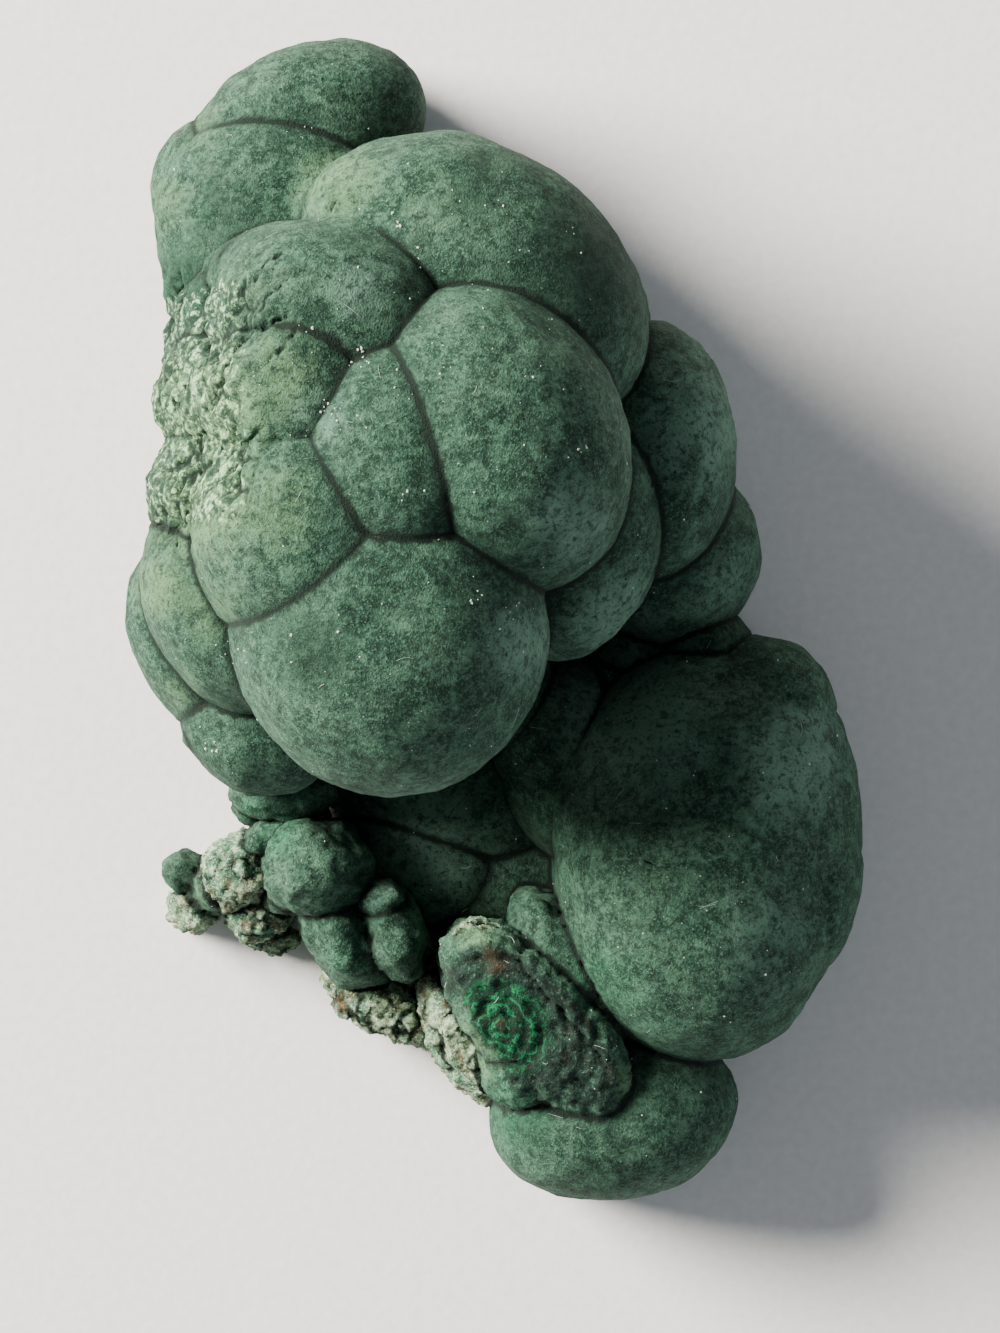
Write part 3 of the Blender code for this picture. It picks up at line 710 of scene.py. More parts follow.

# %% [markdown]
# ## Notes for the finish
# The shader needs to know where the creases, the slits, the crumbly places and the broken face are.
# These are facts about the shape, so they are measured here and stored on the vertices. The creases,
# slits and gaps between folds also carry painted shade: dark lines and a soft dark band in the
# colour. Six tints come from a short table of places: weathered yellowish skin, partly also painted
# light, fresh saturated green, rust-brown dirt, painted shade as deeper green velvet, painted light
# as paler grey velvet in shaded places, and painted shade as black spots in hollows. Each place is a
# soft round spot, and the shader breaks its edge with noise.

# %% Tint places
TINT_PLACES = {
    # name: rows of x, y, reach in mm and amount
    # Weathered yellowish pale skin; the spots at the cheek and the left middle are also painted
    # light, paler where those lobes fall in shade.
    "weathered_and_painted_light": (
        (-18.0, 12.5, 5.5, 1.0), (-17.8, 7.0, 4.5, 1.0), (-15.5, 19.5, 3.6, 0.5),
        (-13.2, 14.5, 3.8, 0.7), (-13.5, 6.5, 4.4, 0.6), (-9.6, 26.8, 3.2, 0.8),
        (-11.5, 19.8, 3.8, 0.3), (-18.4, 31.0, 3.0, 0.5), (-20.6, 26.0, 2.6, 0.6),
        (-20.5, 1.8, 2.2, 1.0), (-4.0, 25.5, 4.0, 0.4), (-17.4, 0.8, 3.2, 0.6),
        (-19.6, -4.5, 2.0, 0.6), (-11.5, -1.6, 4.0, 0.3), (-1.9, -27.4, 2.6, 0.9),
        (-15.8, -18.4, 2.6, 0.5), (-18.6, -17.2, 2.0, 0.5), (11.0, -21.0, 3.4, 0.3),
        (8.2, -29.2, 1.3, 0.8), (-1.2, -19.8, 1.6, 0.8), (-2.8, -29.2, 1.6, 0.8)),
    "fresh": (
        (-19.6, 20.8, 3.0, 1.0), (-18.4, 24.6, 2.6, 0.5), (6.4, -23.4, 4.2, 0.7),
        (1.0, -31.2, 3.2, 1.0), (-13.6, -13.6, 2.2, 0.9), (-15.5, -12.0, 1.2, 1.0),
        (10.5, -26.0, 4.0, 0.5), (-9.6, -21.6, 2.2, 0.6), (-19.4, -3.0, 2.0, 0.5),
        (1.6, -25.8, 2.6, 1.0), (3.0, 24.0, 4.0, 0.3), (-6.8, -17.8, 1.4, 0.5),
        (8.8, -13.6, 3.0, 0.4), (-2.0, 12.0, 2.4, 0.3)),
    "rust": (
        (-8.1, 15.2, 0.55, 0.5), (-17.2, 13.6, 0.9, 0.5), (-21.0, 2.2, 1.3, 0.4),
        (-16.2, -1.6, 0.8, 0.4), (0.2, -21.6, 1.5, 0.9), (-1.4, -21.4, 1.2, 0.6),
        (0.6, -25.4, 0.7, 0.9), (-9.9, -24.7, 1.1, 1.0), (-6.4, -24.5, 1.4, 0.8),
        (-16.6, -18.9, 0.9, 0.6), (-14.2, -16.2, 0.9, 0.5), (-12.2, 30.3, 0.5, 0.4),
        (3.2, -29.4, 1.8, 0.4), (-3.0, -24.6, 1.2, 0.6)),
    # Painted shade: darker green velvet on sides that should lie in shade, such as the right of the
    # crown.
    "deep_painted_shade": (
        (6.2, 21.6, 4.6, 1.0), (-0.5, 26.4, 3.4, 0.7), (-10.8, -2.2, 2.6, 1.0),
        (-17.0, 25.3, 3.4, 0.7), (-19.0, 21.3, 2.2, 1.0), (2.2, -32.4, 2.0, 0.6),
        (2.3, -13.6, 2.4, 0.5), (-0.3, 18.0, 3.0, 0.4), (-19.5, 1.0, 2.0, 0.4),
        (1.5, 21.5, 3.5, 0.4)),
    # Painted light: paler grey-green velvet where the stone lies in shade, so that those shaded
    # parts look lit.
    "painted_fill_light": (
        (9.0, -6.0, 5.5, 1.0), (18.5, -9.0, 4.0, 0.9), (12.2, 12.0, 4.5, 0.9),
        (-8.0, 19.6, 3.0, 0.5), (-10.4, 12.0, 2.4, 0.5),
        (14.0, 2.3, 3.2, 0.6), (7.4, 0.4, 3.2, 0.9), (4.7, 5.7, 2.6, 0.9),
        (1.6, -1.6, 2.6, 0.9), (16.3, -19.8, 4.0, 0.5), (-4.0, -14.5, 4.5, 1.0),
        (12.5, -12.5, 4.0, 0.4)),
    # Painted shade: near-black spots in hollows and pits, where shade falls.
    "hollow": (
        (-2.8, -22.8, 1.6, 1.0), (-8.6, 3.2, 0.7, 0.6), (-4.6, -24.2, 1.0, 0.6),
        (-0.9, -25.4, 1.0, 0.8), (0.4, -25.6, 0.35, 0.9), (-17.4, -15.0, 0.8, 0.7),
        (-15.2, -12.4, 0.7, 0.8), (-14.0, -17.6, 1.0, 0.6)),
}


def store(mesh, name, values):
    """Keep one number per vertex under a name that a shader can read."""
    layer = mesh.attributes.new(name, "FLOAT", "POINT")
    layer.data.foreach_set("value", values.astype(np.float32))


def tint_amount(points, places):
    """The strongest of the soft round spots at each point."""
    amount = np.zeros(len(points))
    for x, y, reach, strength in places:
        away = (points[:, 0] - x) ** 2 + (points[:, 1] - y) ** 2
        amount = np.maximum(amount, strength * np.exp(-away / reach ** 2))
    return amount


# %% Store the facts on the vertices
# The dark crease line and the soft band beside it are painted shade in the colour.
CREASE_LINE, CREASE_SHADE = 0.16, 1.2  # mm over which the dark line and its soft shade fade
VALLEY_GAIN = 2.4                      # a crease is fully dark where its valley is this steep
SOFT_FROM, SOFT_OVER, SOFT_FADE = 1.6, 1.2, 0.85  # a softly filled crease has a paler line
GAP_LINE, GAP_DARKNESS = 0.10, 0.8     # the dark line between two folds
apart = gap[:, 1] - gap[:, 0]
valley = 1.0 - np.einsum("pj,pj->p", way[:, 0], way[:, 1])
crease = np.exp(-apart / CREASE_LINE) * np.clip(valley * VALLEY_GAIN, 0.1, 1.0)
softened = np.clip((crease_softness(skin_points) - SOFT_FROM) / SOFT_OVER, 0.0, 1.0)
firm = 1.0 - SOFT_FADE * softened
crease *= firm
# Painted shade: a dark line in the gaps between the folds of the flank.
cobble_gap = np.exp(-pebbled / GAP_LINE) * cobbled * open_gap
# Painted shade: a soft dark band in the colour beside each crease valley, where shade falls.
painted_valley_shade = np.exp(-apart / CREASE_SHADE) * np.clip(valley * VALLEY_GAIN, 0.0, 1.0) * firm
# Painted shade: the crease value darkens the colour along crease lines, in slits and between folds.
store(skin.data, "crease", np.maximum.reduce([crease, slit, GAP_DARKNESS * cobble_gap]))
store(skin.data, "painted_valley_shade", painted_valley_shade)
store(skin.data, "cobbled", cobbled)
store(skin.data, "crumbly", crumbly)
store(skin.data, "broken_face", on_break)
store(skin.data, "ring_distance", ring_distance(skin_points))
for name, places in TINT_PLACES.items():
    store(skin.data, name, tint_amount(skin_points, places))
print("stored", len(skin.data.attributes), "attributes")

# %% [markdown]
# ## Fewer triangles where the skin is smooth
# The remesh makes squares of one size everywhere. Decimating by collapse removes them mostly where
# the skin is nearly flat and keeps them along the creases, so the file stays light and sharp.

# %% Decimate, saw the back and move into place
SKIN_TRIANGLES = 186000
CUT_MERGE = 1e-5  # mm within which a vertex counts as lying on the saw cut


def decimate(obj, target):
    """Bring an object down to about this many triangles."""
    count = sum(len(face.vertices) - 2 for face in obj.data.polygons)
    if count > target:
        fewer = obj.modifiers.new("fewer", "DECIMATE")
        fewer.ratio = target / count
        bake_modifiers(obj)
    print(count, "triangles before,", len(obj.data.polygons), "faces after")


def saw_back(mesh, height):
    """Cut level at the back, close the cut, and mark its faces with the second material."""
    build = bmesh.new()
    build.from_mesh(mesh)
    bmesh.ops.triangulate(build, faces=build.faces[:])
    everything = build.verts[:] + build.edges[:] + build.faces[:]
    cut = bmesh.ops.bisect_plane(
        build, geom=everything, dist=CUT_MERGE, plane_co=(0.0, 0.0, height),
        plane_no=(0.0, 0.0, -1.0), clear_outer=True)
    rim = [item for item in cut["geom_cut"] if isinstance(item, bmesh.types.BMEdge)]
    before = set(build.faces)
    bmesh.ops.triangle_fill(build, use_beauty=True, edges=rim, normal=(0.0, 0.0, -1.0))
    for face in build.faces:
        face.smooth = face in before
        if face not in before:
            face.material_index = 1
            if face.normal.z > 0.0:
                face.normal_flip()
    for edge in rim:
        edge.smooth = False
    build.to_mesh(mesh)
    build.free()


decimate(skin, SKIN_TRIANGLES)
saw_back(skin.data, BACK_HEIGHT)
table_middle = (plain_box[0] + plain_box[1]) / 2.0
cad_middle = [(low + high) / 2.0 / MM for low, high in zip(*cad_box)]
SHIFT = Vector((cad_middle[0] - table_middle[0], cad_middle[1] - table_middle[1], -BACK_HEIGHT))
TO_FRAME = Matrix.Scale(MM, 4) @ Matrix.Translation(SHIFT)
skin.data.transform(TO_FRAME)
skin.data.update()
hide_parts("malachite")
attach(skin, "root")
print("moved by", [round(value, 3) for value in SHIFT], "mm;", len(skin.data.polygons), "triangles")

# %% [markdown]
# ## Shader helpers
# Colours are written as sRGB hex, the way a colour picker shows them, and turned to the linear
# values that Blender mixes. One small function adds any node with its settings and links. A second
# one lays tints over each other in order, like thin coats of paint, each through its own mask.

# %% Colour and node helpers
COLOUR_MIX = {"data_type": "RGBA", "clamp_factor": True}


def linear(hex_colour):
    """The linear red, green, blue and alpha of an sRGB hex colour."""
    channels = [int(hex_colour[place:place + 2], 16) / 255 for place in (1, 3, 5)]
    return (*[c / 12.92 if c <= 0.04045 else ((c + 0.055) / 1.055) ** 2.4 for c in channels], 1.0)


def add(tree, kind, inputs, out=0, **settings):
    """Add one node with its settings and links, and return the output that is wanted."""
    made = tree.nodes.new("ShaderNode" + kind)
    for key, value in settings.items():
        setattr(made, key, value)
    for socket, value in inputs.items():
        if isinstance(value, bpy.types.NodeSocket):
            tree.links.new(value, made.inputs[socket])
        else:
            made.inputs[socket].default_value = value
    return made.outputs[out]


def layered(tree, colour, coats):
    """Lay tints over a colour: each coat is a mask, the range that it fades in over, how
    strong it gets, and its hex."""
    for mask, low, high, strength, tint in coats:
        amount = add(tree, "MapRange", {"Value": mask, "From Min": low, "From Max": high,
                                        "To Min": 0.0, "To Max": strength})
        colour = add(tree, "Mix", {0: amount, 6: colour, 7: linear(tint)}, out=2, **COLOUR_MIX)
    return colour


def new_material(name, **shader_values):
    """A material, its tree, its Principled shader, and object coordinates in millimetres."""
    material = bpy.data.materials.new(name)
    material.use_nodes = True
    tree = material.node_tree
    shader = tree.nodes["Principled BSDF"]
    for key, value in shader_values.items():
        shader.inputs[key.replace("_", " ")].default_value = value
    place = add(tree, "TexCoord", {}, out="Object")
    where = add(tree, "VectorMath", {0: place, "Scale": 1.0 / MM}, operation="SCALE")
    return material, tree, shader, where


print("hex #808080 is linear", round(linear("#808080")[0], 3))

# %% [markdown]
# ## The velvet skin
# The skin is fibrous malachite, grown and never polished: a pile of crystals, each a few hundredths
# of a millimetre thick. Light sinks between their tips, so the stone has no gloss, looks soft, and
# brightens a little towards the rim of each lobe like cloth. That is a high roughness and some
# sheen. The crystals stand in tufts of about 0.2 mm. Pale tips and dark gaps between tufts give the
# grain, and slow clouds of a few millimetres keep it from looking even. The tints measured above
# come on top, each broken up by noise so that no edge is a clean circle. Painted shade darkens the
# creases, slits, pits and hollows and some shaded sides, and painted light makes other shaded places
# paler.

# %% The velvet: noise fields and stored facts
velvet, tree, shader, where = new_material(
    "malachite_velvet_crystals", Roughness=0.85, Sheen_Weight=0.045, Sheen_Roughness=0.5,
    Specular_IOR_Level=0.1, IOR=1.66)
shader.inputs["Sheen Tint"].default_value = linear("#a9dcba")
cloud = {}
for name, size, detail, rough, warp in (
        # name, size in mm, octaves, roughness, warp
        ("wide", 3.4, 3, 0.5, 0.3), ("patch", 1.3, 4, 0.6, 0.5), ("mottle", 0.55, 3, 0.6, 0.4),
        ("tuft", 0.24, 3, 0.7, 0.2), ("tip", 0.13, 2, 0.7, 0.0), ("rust", 0.9, 4, 0.65, 0.3),
        ("crumb", 0.7, 5, 0.7, 0.6), ("wobble", 1.1, 3, 0.6, 0.0)):
    cloud[name] = add(tree, "TexNoise", {
        "Vector": where, "Scale": 1.0 / size, "Detail": detail, "Roughness": rough,
        "Distortion": warp}, out="Fac")
fact = {}
for name in ("crease", "painted_valley_shade", "crumbly", "cobbled", "broken_face", "ring_distance",
             *TINT_PLACES):
    fact[name] = add(tree, "Attribute", {}, out="Fac", attribute_name=name)
print(len(cloud), "noise fields and", len(fact), "stored facts")

# %% The velvet: masks
# Each mask is a stored fact times a noise field times a gain. So a tint is strongest in the middle
# of its place and ends in patches of that noise's size. The pores are small pits around scattered
# cell centres, each of its own size; their dark colour is painted shade.
PORES_PER_MM = 1.5
PORE_RADIUS, PORE_MISSING = 0.30, -0.10  # shares of a cell: below nought there is no pore
mask = {}
for name, source, noisy, gain in (
        ("weathered_and_painted_light", "weathered_and_painted_light", "patch", 1.3), ("fresh", "fresh", "mottle", 1.1),
        ("rust", "rust", "rust", 1.2), ("hollow", "hollow", "mottle", 0.9),
        ("deep_painted_shade", "deep_painted_shade", "patch", 1.4), ("painted_fill_light", "painted_fill_light", "patch", 1.4),
        ("pale_folds", "cobbled", "mottle", 1.0), ("dark_folds", "cobbled", "crumb", 1.0),
        ("dirt", "crease", "rust", 1.0), ("crease", "crease", "patch", 1.9)):
    product = add(tree, "Math", {0: fact[source], 1: cloud[noisy]}, operation="MULTIPLY")
    mask[name] = add(tree, "Math", {0: product, 1: gain}, operation="MULTIPLY")
pore_cells, pore_pick = (
    add(tree, "TexVoronoi", {"Vector": where, "Scale": PORES_PER_MM}, out=wanted)
    for wanted in ("Distance", "Color"))
pore_size = add(tree, "Math", {0: pore_pick, 1: PORE_RADIUS, 2: PORE_MISSING},
                operation="MULTIPLY_ADD")
pores = add(tree, "Math", {0: pore_size, 1: pore_cells}, operation="SUBTRACT")
print("masks:", ", ".join(mask))

# %% [markdown]
# The broken face cuts through the pile into solid malachite. There the growth layers show as bands:
# bright emerald where the fibres are fine, nearly black where they are coarse. The bands are a sine
# of the ring distance, bent by noise, and they fade with distance from the seed.

# %% The velvet: colour of the broken face
BAND_BEND = 2.4         # mm that the noise bends a band
LAYERS_PER_BAND = 1.7   # growth layers from one bright band to the next
EYE_EDGE = (3.1, 2.3)   # ring distance in mm at which the eye starts and is full
bent = add(tree, "Math", {0: cloud["wobble"], 1: BAND_BEND, 2: fact["ring_distance"]},
           operation="MULTIPLY_ADD")
phase = add(tree, "Math", {0: bent, 1: math.tau / RING_WIDTH / LAYERS_PER_BAND},
            operation="MULTIPLY")
bands = add(tree, "Math", {0: phase}, operation="SINE")
patchy = add(tree, "Math", {0: bands, 1: cloud["mottle"]}, operation="MULTIPLY")
face_colour = layered(tree, linear("#13271e"), (
    (cloud["patch"], 0.44, 0.62, 0.85, "#0a1712"),
    (cloud["mottle"], 0.52, 0.66, 0.6, "#2a4638"),
    (cloud["rust"], 0.54, 0.62, 0.6, "#1d1a13"),
    (cloud["tuft"], 0.56, 0.70, 0.6, "#4a6656"),
    (cloud["tuft"], 0.46, 0.32, 0.85, "#060e0a"),
))
eye_colour = layered(tree, linear("#052015"), (
    (cloud["mottle"], 0.42, 0.60, 0.7, "#06301d"),
    (patchy, 0.10, 0.32, 0.9, "#0c5a35"),
    (cloud["tip"], 0.58, 0.70, 0.4, "#2f7a54"),
    (cloud["rust"], 0.54, 0.60, 0.8, "#0f120c"),
    (cloud["tuft"], 0.45, 0.32, 0.7, "#04110b"),
))
near_eye = add(tree, "MapRange", {
    "Value": fact["ring_distance"], "From Min": EYE_EDGE[0], "From Max": EYE_EDGE[1]})
face_colour = add(tree, "Mix", {0: near_eye, 6: face_colour, 7: eye_colour}, out=2, **COLOUR_MIX)
print("bright bands every", round(RING_WIDTH * LAYERS_PER_BAND, 2), "mm")

# %% The velvet: colour of the pile
PILE_RELIEF = 0.14  # mm from the gaps between tufts to their tips
colour = layered(tree, linear("#233d30"), (
    (cloud["wide"], 0.46, 0.60, 0.85, "#173224"),
    (cloud["wide"], 0.50, 0.38, 0.5, "#35493a"),
    (cloud["patch"], 0.47, 0.62, 0.8, "#375543"),
    (cloud["patch"], 0.49, 0.36, 0.8, "#11271c"),
    # weathered skin, partly painted light on the left lobes
    (mask["weathered_and_painted_light"], 0.18, 0.62, 0.85, "#55714d"),
    (mask["fresh"], 0.20, 0.60, 0.75, "#125033"),
    # painted light: paler velvet in shaded places
    (mask["painted_fill_light"], 0.15, 0.60, 0.9, "#5a7868"),
    (cloud["mottle"], 0.48, 0.36, 0.75, "#0e2219"),
    (cloud["mottle"], 0.53, 0.67, 0.5, "#4a6d56"),
    (cloud["tuft"], 0.47, 0.34, 0.7, "#0a1a12"),
    (cloud["tuft"], 0.54, 0.68, 0.45, "#4a725d"),
    (cloud["tip"], 0.57, 0.70, 0.5, "#62886e"),
    # painted shade: darker green on shaded sides
    (mask["deep_painted_shade"], 0.15, 0.60, 0.6, "#0d2218"),
    # painted shade in the pores
    (pores, 0.0, 0.03, 0.8, "#0a150f"),
    (mask["pale_folds"], 0.50, 0.60, 0.8, "#8fb386"),
    (mask["dark_folds"], 0.48, 0.57, 0.9, "#12251a"),
    # painted shade beside the creases
    (fact["painted_valley_shade"], 0.15, 1.0, 0.45, "#12261c"),
))
crumb_colour = layered(tree, linear("#738768"), (
    (cloud["wide"], 0.42, 0.56, 0.85, "#3b6950"),
    (cloud["crumb"], 0.51, 0.62, 0.75, "#a6ba9b"),
    (cloud["crumb"], 0.47, 0.38, 0.9, "#1c2b21"),
    (cloud["rust"], 0.52, 0.60, 0.7, "#5c4f36"),
    (cloud["tip"], 0.57, 0.68, 0.6, "#d5e1c9"),
    (cloud["tuft"], 0.46, 0.34, 0.7, "#1f2c22"),
))
colour = add(tree, "Mix", {0: fact["crumbly"], 6: colour, 7: crumb_colour}, out=2, **COLOUR_MIX)
colour = add(tree, "Mix", {0: fact["broken_face"], 6: colour, 7: face_colour}, out=2, **COLOUR_MIX)
colour = layered(tree, colour, (
    # painted shade along the creases, slits and gaps between folds
    (mask["crease"], 0.08, 0.50, 0.95, "#0c1711"),
    (mask["dirt"], 0.56, 0.68, 0.3, "#4d4a2e"),
    (mask["rust"], 0.30, 0.56, 0.85, "#33291d"),
    (mask["rust"], 0.56, 0.68, 0.7, "#7d6339"),
    # painted shade in the hollows
    (mask["hollow"], 0.25, 0.45, 0.9, "#141c17"),
))
tree.links.new(colour, shader.inputs["Base Color"])
relief = layered(tree, (0.5, 0.5, 0.5, 1.0), (
    (cloud["mottle"], 0.35, 0.65, 0.6, "#ffffff"),
    (cloud["tuft"], 0.30, 0.70, 0.7, "#ffffff"),
    (cloud["tip"], 0.65, 0.35, 0.45, "#000000"),
    (pores, 0.0, 0.04, 0.9, "#000000"),
))
bump = add(tree, "Bump", {"Height": relief, "Strength": 0.8, "Distance": PILE_RELIEF * MM},
           out="Normal")
tree.links.new(bump, shader.inputs["Normal"])
print("velvet:", len(tree.nodes), "nodes")

# %% [markdown]
# ## The sawn back
# A diamond saw leaves a flat, dull face with faint parallel scratches. Cut malachite shows its
# famous growth bands, light and dark green rings around each lobe's seed. Rings measured as the
# distance to random cell centres give that, with a slow warp so that no ring is a true circle.

# %% The sawn material
BEND_PER_MM = 0.35           # how fast the slow warp changes
SEEDS_PER_MM = 0.085         # one lobe's seed about every 12 mm
RING_PACE = 60.0             # radians of ring per cell
RING_WARP = 5.0              # radians that the slow warp moves a ring
SLOW_RING_SHARE = 0.37
SAW_STROKE = (0.15, 6.0, 1.0)  # a scratch is long along x and 0.17 mm apart along y
SCRATCH_DEPTH = 0.05         # mm
sawn, tree, shader, where = new_material("sawn_malachite", Roughness=0.5, IOR=1.66)
slow_bend = add(tree, "TexNoise", {"Vector": where, "Scale": BEND_PER_MM, "Detail": 3.0}, out="Fac")
cells = add(tree, "TexVoronoi", {"Vector": where, "Scale": SEEDS_PER_MM}, feature="SMOOTH_F1")
phase = add(tree, "Math", {0: cells, 1: RING_PACE, 2: slow_bend}, operation="MULTIPLY_ADD")
phase = add(tree, "Math", {0: slow_bend, 1: RING_WARP, 2: phase}, operation="MULTIPLY_ADD")
rings = add(tree, "Math", {0: phase}, operation="SINE")
slow_phase = add(tree, "Math", {0: phase, 1: SLOW_RING_SHARE}, operation="MULTIPLY")
slow_rings = add(tree, "Math", {0: slow_phase}, operation="SINE")
stroke = add(tree, "VectorMath", {0: where, 1: SAW_STROKE}, operation="MULTIPLY")
scratch = add(tree, "TexNoise", {"Vector": stroke, "Scale": 1.0, "Detail": 2.0}, out="Fac")
colour = layered(tree, linear("#0e4a35"), (
    (rings, -0.8, 0.8, 1.0, "#3f9a76"),
    (slow_rings, 0.2, 0.9, 0.6, "#0a3527"),
    (scratch, 0.5, 0.75, 0.35, "#7fb39b"),
))
tree.links.new(colour, shader.inputs["Base Color"])
bump = add(tree, "Bump", {"Height": scratch, "Strength": 0.3, "Distance": SCRATCH_DEPTH * MM},
           out="Normal")
tree.links.new(bump, shader.inputs["Normal"])
skin.data.materials.clear()
skin.data.materials.append(velvet)
skin.data.materials.append(sawn)
print("sawn face: one seed every", round(1.0 / SEEDS_PER_MM, 1), "mm")

# %% [markdown]
# ## Dust specks and lint
# White specks of calcite dust and short threads of lint cling to the crystal pile. They are tiny,
# but the eye reads them as scale and as softness. Each speck is a lumpy pebble of 0.05 to 0.3 mm,
# each thread a three-sided tube as thin as a hair that follows the skin. Most are scattered with a
# fixed seed, on the upper side where dust settles; a few bigger flecks sit at named places.

# %% Places on the upper skin
SPECK_SEED = 11
RAY_START = 10.0    # mm above the stone
RAY_TILT = 0.5      # spread of the rays, so that steep sides get some dust too
LOWEST_DUST = 0.5   # mm above the floor
skin_tree = BVHTree.FromPolygons(
    [vert.co for vert in skin.data.vertices],
    [face.vertices for face in skin.data.polygons])
place_pick = np.random.default_rng(SPECK_SEED)


def spot_below(x, y, tilt=(0.0, 0.0)):
    """Where a ray sent down at x, y (metres) meets the skin: position and outward way."""
    start = Vector((x, y, cad_box[1][2] + RAY_START * MM))
    hit, way, _, _ = skin_tree.ray_cast(start, Vector((*tilt, -1.0)).normalized())
    return hit, way


def scattered_spots(count):
    """Random places on the skin as seen from above."""
    (left, near, _), (right, far, _) = cad_box
    spots = []
    while len(spots) < count:
        hit, way = spot_below(place_pick.uniform(left, right), place_pick.uniform(near, far),
                              place_pick.normal(0.0, RAY_TILT, size=2))
        if hit is not None and hit.z > LOWEST_DUST * MM:
            spots.append((hit, way))
    return spots


print("top of the stone:", [round(value / MM, 2) for value in spot_below(0.0, 0.0)[0]], "mm")

# %% The specks
SPECKS = 340
SPECK_LEAST, SPECK_SPREAD, SPECK_MOST = 0.025, 0.018, 0.11  # radius in mm
SPECK_RISE = 0.1             # share of its radius that a speck's centre stands off the skin
PEBBLE_LUMPS = (0.55, 1.3)   # each corner is pushed in or out by a share in this range
FLECK_SHARES = (0.3, 0.85)   # a fleck's grains are between these shares of its radius
FLECKS = (
    # x, y in table mm, spread in mm, how many, radius in mm
    (-8.0, 15.9, 0.35, 6, 0.13), (-7.7, 15.2, 0.2, 3, 0.12), (-9.9, 12.7, 0.25, 5, 0.12),
    (-9.6, 12.3, 0.2, 3, 0.13), (-10.9, 11.6, 0.5, 4, 0.07), (-16.0, -2.5, 0.5, 5, 0.10),
    (-17.8, -8.1, 0.3, 5, 0.15), (-6.0, 23.9, 0.3, 4, 0.14), (-5.3, 7.3, 0.15, 3, 0.13),
    (-0.8, 1.0, 0.25, 4, 0.15), (1.2, 0.5, 0.3, 5, 0.17), (5.2, 10.0, 0.2, 3, 0.14),
    (-2.9, 14.9, 0.2, 3, 0.09), (-12.3, 30.3, 0.4, 5, 0.08), (12.5, -9.4, 0.15, 2, 0.13),
    (-4.6, 21.3, 0.5, 4, 0.10), (0.6, 24.9, 0.5, 4, 0.09), (4.4, 23.6, 0.4, 3, 0.09),
)


def pebble(build, centre, radius):
    """One lumpy grain."""
    made = bmesh.ops.create_icosphere(
        build, subdivisions=1, radius=radius, matrix=Matrix.Translation(centre))
    for vert in made["verts"]:
        vert.co = centre + (vert.co - centre) * place_pick.uniform(*PEBBLE_LUMPS)


def mesh_object(name, build, material):
    """An object of the finished bmesh, in one material."""
    mesh = bpy.data.meshes.new(name)
    build.to_mesh(mesh)
    build.free()
    mesh.materials.append(material)
    return in_scene(name, mesh)


def mesh_piece(name, build, material):
    """The same, as a piece that moves with the stone."""
    obj = mesh_object(name, build, material)
    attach(obj, "root")
    return obj


dust, tree, shader, where = new_material("calcite_dust", Roughness=0.9, Specular_IOR_Level=0.3)
powder = add(tree, "TexNoise", {"Vector": where, "Scale": 3.0, "Detail": 2.0}, out="Fac")
tree.links.new(layered(tree, linear("#8f9d8c"), ((powder, 0.4, 0.6, 1.0, "#d5dacb"),)),
               shader.inputs["Base Color"])
build = bmesh.new()
for spot, way in scattered_spots(SPECKS):
    radius = min(SPECK_MOST, SPECK_LEAST + place_pick.exponential(SPECK_SPREAD)) * MM
    pebble(build, spot + way * radius * SPECK_RISE, radius)
for x, y, reach, count, radius in FLECKS:
    for number in range(count):
        near = TO_FRAME @ Vector((x + place_pick.normal(0.0, reach),
                                  y + place_pick.normal(0.0, reach), 0.0))
        spot, way = spot_below(near.x, near.y)
        size = radius * place_pick.uniform(*FLECK_SHARES) * MM
        pebble(build, spot + way * size * SPECK_RISE, size)
specks = mesh_piece("dust_specks", build, dust)
print("specks:", len(specks.data.polygons), "triangles")

# %% [markdown]
# A thread starts at a random spot in a random direction. At each step it turns a little, and it is
# pulled back towards the skin if it strays. Three corners around each point are enough for a tube
# that is thinner than one pixel.

# %% The lint
THREADS = 46
THREAD_RADIUS = 0.011          # mm
THREAD_LENGTH = (0.4, 1.6)     # mm
THREAD_STEPS = 8
THREAD_CURL = 0.12             # how much a thread bends at each step
THREAD_HEIGHT = (0.03, 0.25)   # mm off the skin, least and most
TUBE_ANGLES = (0.0, 2.1, 4.2)  # about a third of a turn apart


def thread(build, start, way, length):
    """A slightly bent hair that keeps just off the skin."""
    least, most = THREAD_HEIGHT
    side = way.cross(Vector(place_pick.normal(size=3))).normalized()
    curl = place_pick.normal(0.0, THREAD_CURL)
    point, rings = start + way * least * MM, []
    for number in range(THREAD_STEPS):
        lift = way.cross(side).normalized()
        thin = THREAD_RADIUS * MM * (0.5 if number in (0, THREAD_STEPS - 1) else 1.0)
        rings.append([build.verts.new(point + thin * (
            way * math.cos(angle) + lift * math.sin(angle))) for angle in TUBE_ANGLES])
        side = (side + lift * curl).normalized()
        ahead = point + side * length / THREAD_STEPS
        near, normal, _, _ = skin_tree.find_nearest(ahead)
        off = max((ahead - near).dot(normal), least * MM)
        point = near + normal * min(off, most * MM)
        way = normal
        side = (side - normal * side.dot(normal)).normalized()
    for one, two in zip(rings[:-1], rings[1:]):
        for corner in range(3):
            after = (corner + 1) % 3
            build.faces.new((one[corner], one[after], two[after], two[corner]))
    build.faces.new(rings[0][::-1])
    build.faces.new(rings[-1])


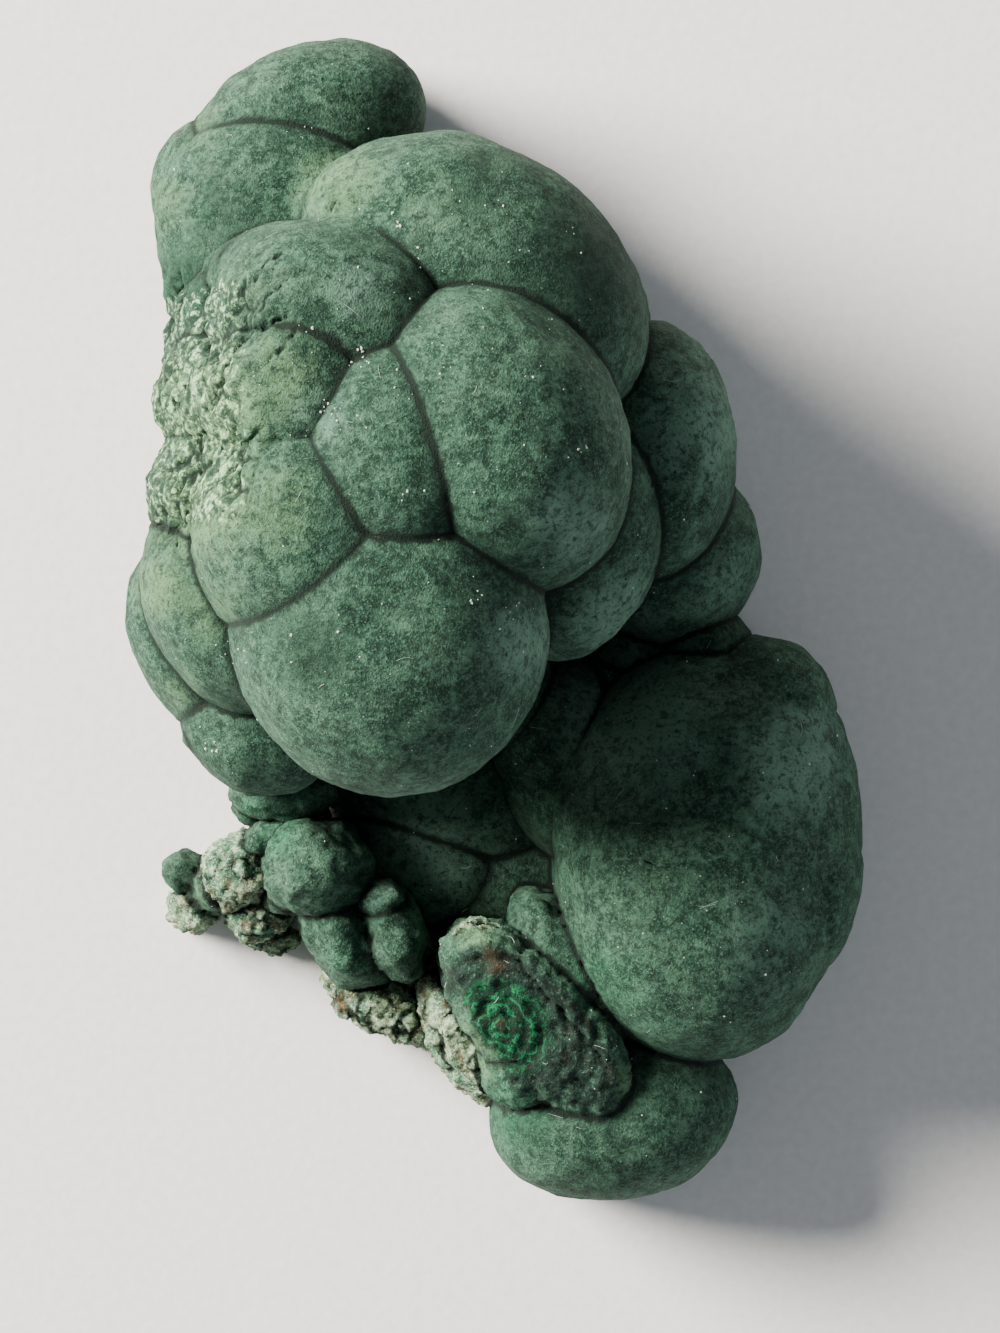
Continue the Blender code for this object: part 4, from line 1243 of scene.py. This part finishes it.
lint, tree, shader, where = new_material("cotton_lint", Roughness=0.7, Sheen_Weight=0.3)
fluff = add(tree, "TexNoise", {"Vector": where, "Scale": 1.0, "Detail": 1.0}, out="Fac")
tree.links.new(layered(tree, linear("#74817b"), ((fluff, 0.3, 0.7, 1.0, "#b5beb9"),)),
               shader.inputs["Base Color"])
build = bmesh.new()
for spot, way in scattered_spots(THREADS):
    thread(build, spot, way, place_pick.uniform(*THREAD_LENGTH) * MM)
threads = mesh_piece("lint_threads", build, lint)
print("lint:", len(threads.data.polygons), "faces")

# %% [markdown]
# ## Floor, light and camera
# A sheet of matt paper, one soft lamp low on the left, and a weak cool fill from all round. The low
# lamp models every lobe with a light and a dark side and throws a long soft shadow. The camera
# looks straight down on the specimen, which lies on its back.

# %% Paper floor
FLOOR_REACH = 1.5    # m from the middle to each side
PAPER_RELIEF = 0.1   # mm
paper, tree, shader, where = new_material("matt_paper", Roughness=0.9, Specular_IOR_Level=0.2)
fibre = add(tree, "TexNoise", {"Vector": where, "Scale": 1.5, "Detail": 4.0}, out="Fac")
tree.links.new(layered(tree, linear("#dedcd9"), ((fibre, 0.3, 0.7, 1.0, "#e6e4e2"),)),
               shader.inputs["Base Color"])
bump = add(tree, "Bump", {"Height": fibre, "Strength": 0.2, "Distance": PAPER_RELIEF * MM},
           out="Normal")
tree.links.new(bump, shader.inputs["Normal"])
build = bmesh.new()
bmesh.ops.create_grid(build, x_segments=8, y_segments=8, size=FLOOR_REACH)
floor = mesh_object("paper_floor", build, paper)
print("floor:", 2.0 * FLOOR_REACH, "m square")

# %% Lights
LAMPS = (
    # name, way to the lamp, distance in m, width in m, watts, colour
    ("window_lamp", (-0.82, 0.37, 0.44), 0.8, 0.46, 44.5, "#fffaf2"),
    ("room_lamp", (0.78, -0.55, 0.16), 1.2, 0.9, 8.0, "#eaf2ff"),
)
ROOM_STRENGTH = 0.29
for name, way, distance, width, watts, tone in LAMPS:
    lamp = bpy.data.lights.new(name, "AREA")
    lamp.shape = "DISK"
    lamp.size = width
    lamp.energy = watts
    lamp.color = linear(tone)[:3]
    obj = in_scene(name, lamp)
    obj.location = Vector(way).normalized() * distance
    obj.rotation_euler = (-Vector(way)).to_track_quat("-Z", "Y").to_euler()
    print(name, "at", [round(value, 2) for value in obj.location], "m,", watts, "W")
world = bpy.data.worlds.new("soft_room")
bpy.context.scene.world = world
world.use_nodes = True
room = world.node_tree.nodes["Background"]
room.inputs["Color"].default_value = linear("#e2e9f2")
room.inputs["Strength"].default_value = ROOM_STRENGTH

# %% Camera
CAMERA_HEIGHT = 418.0       # table mm
CAMERA_PLACE = (0.4, -3.0)  # table mm
VIEW_DISTANCE = 400.0       # mm from the camera to the level that is framed
VIEW_HEIGHT = 83.3          # mm of that level that the frame shows from top to bottom
SENSOR = 36.0               # mm
view = bpy.data.cameras.new("camera")
view.sensor_fit = "VERTICAL"
view.sensor_height = SENSOR
view.lens = SENSOR * VIEW_DISTANCE / VIEW_HEIGHT
view.clip_start = 0.01
camera = in_scene("camera", view)
camera.location = TO_FRAME @ Vector((*CAMERA_PLACE, CAMERA_HEIGHT))
bpy.context.scene.camera = camera
print("camera:", round(view.lens, 1), "mm lens at", round(camera.location.z / MM, 1), "mm")
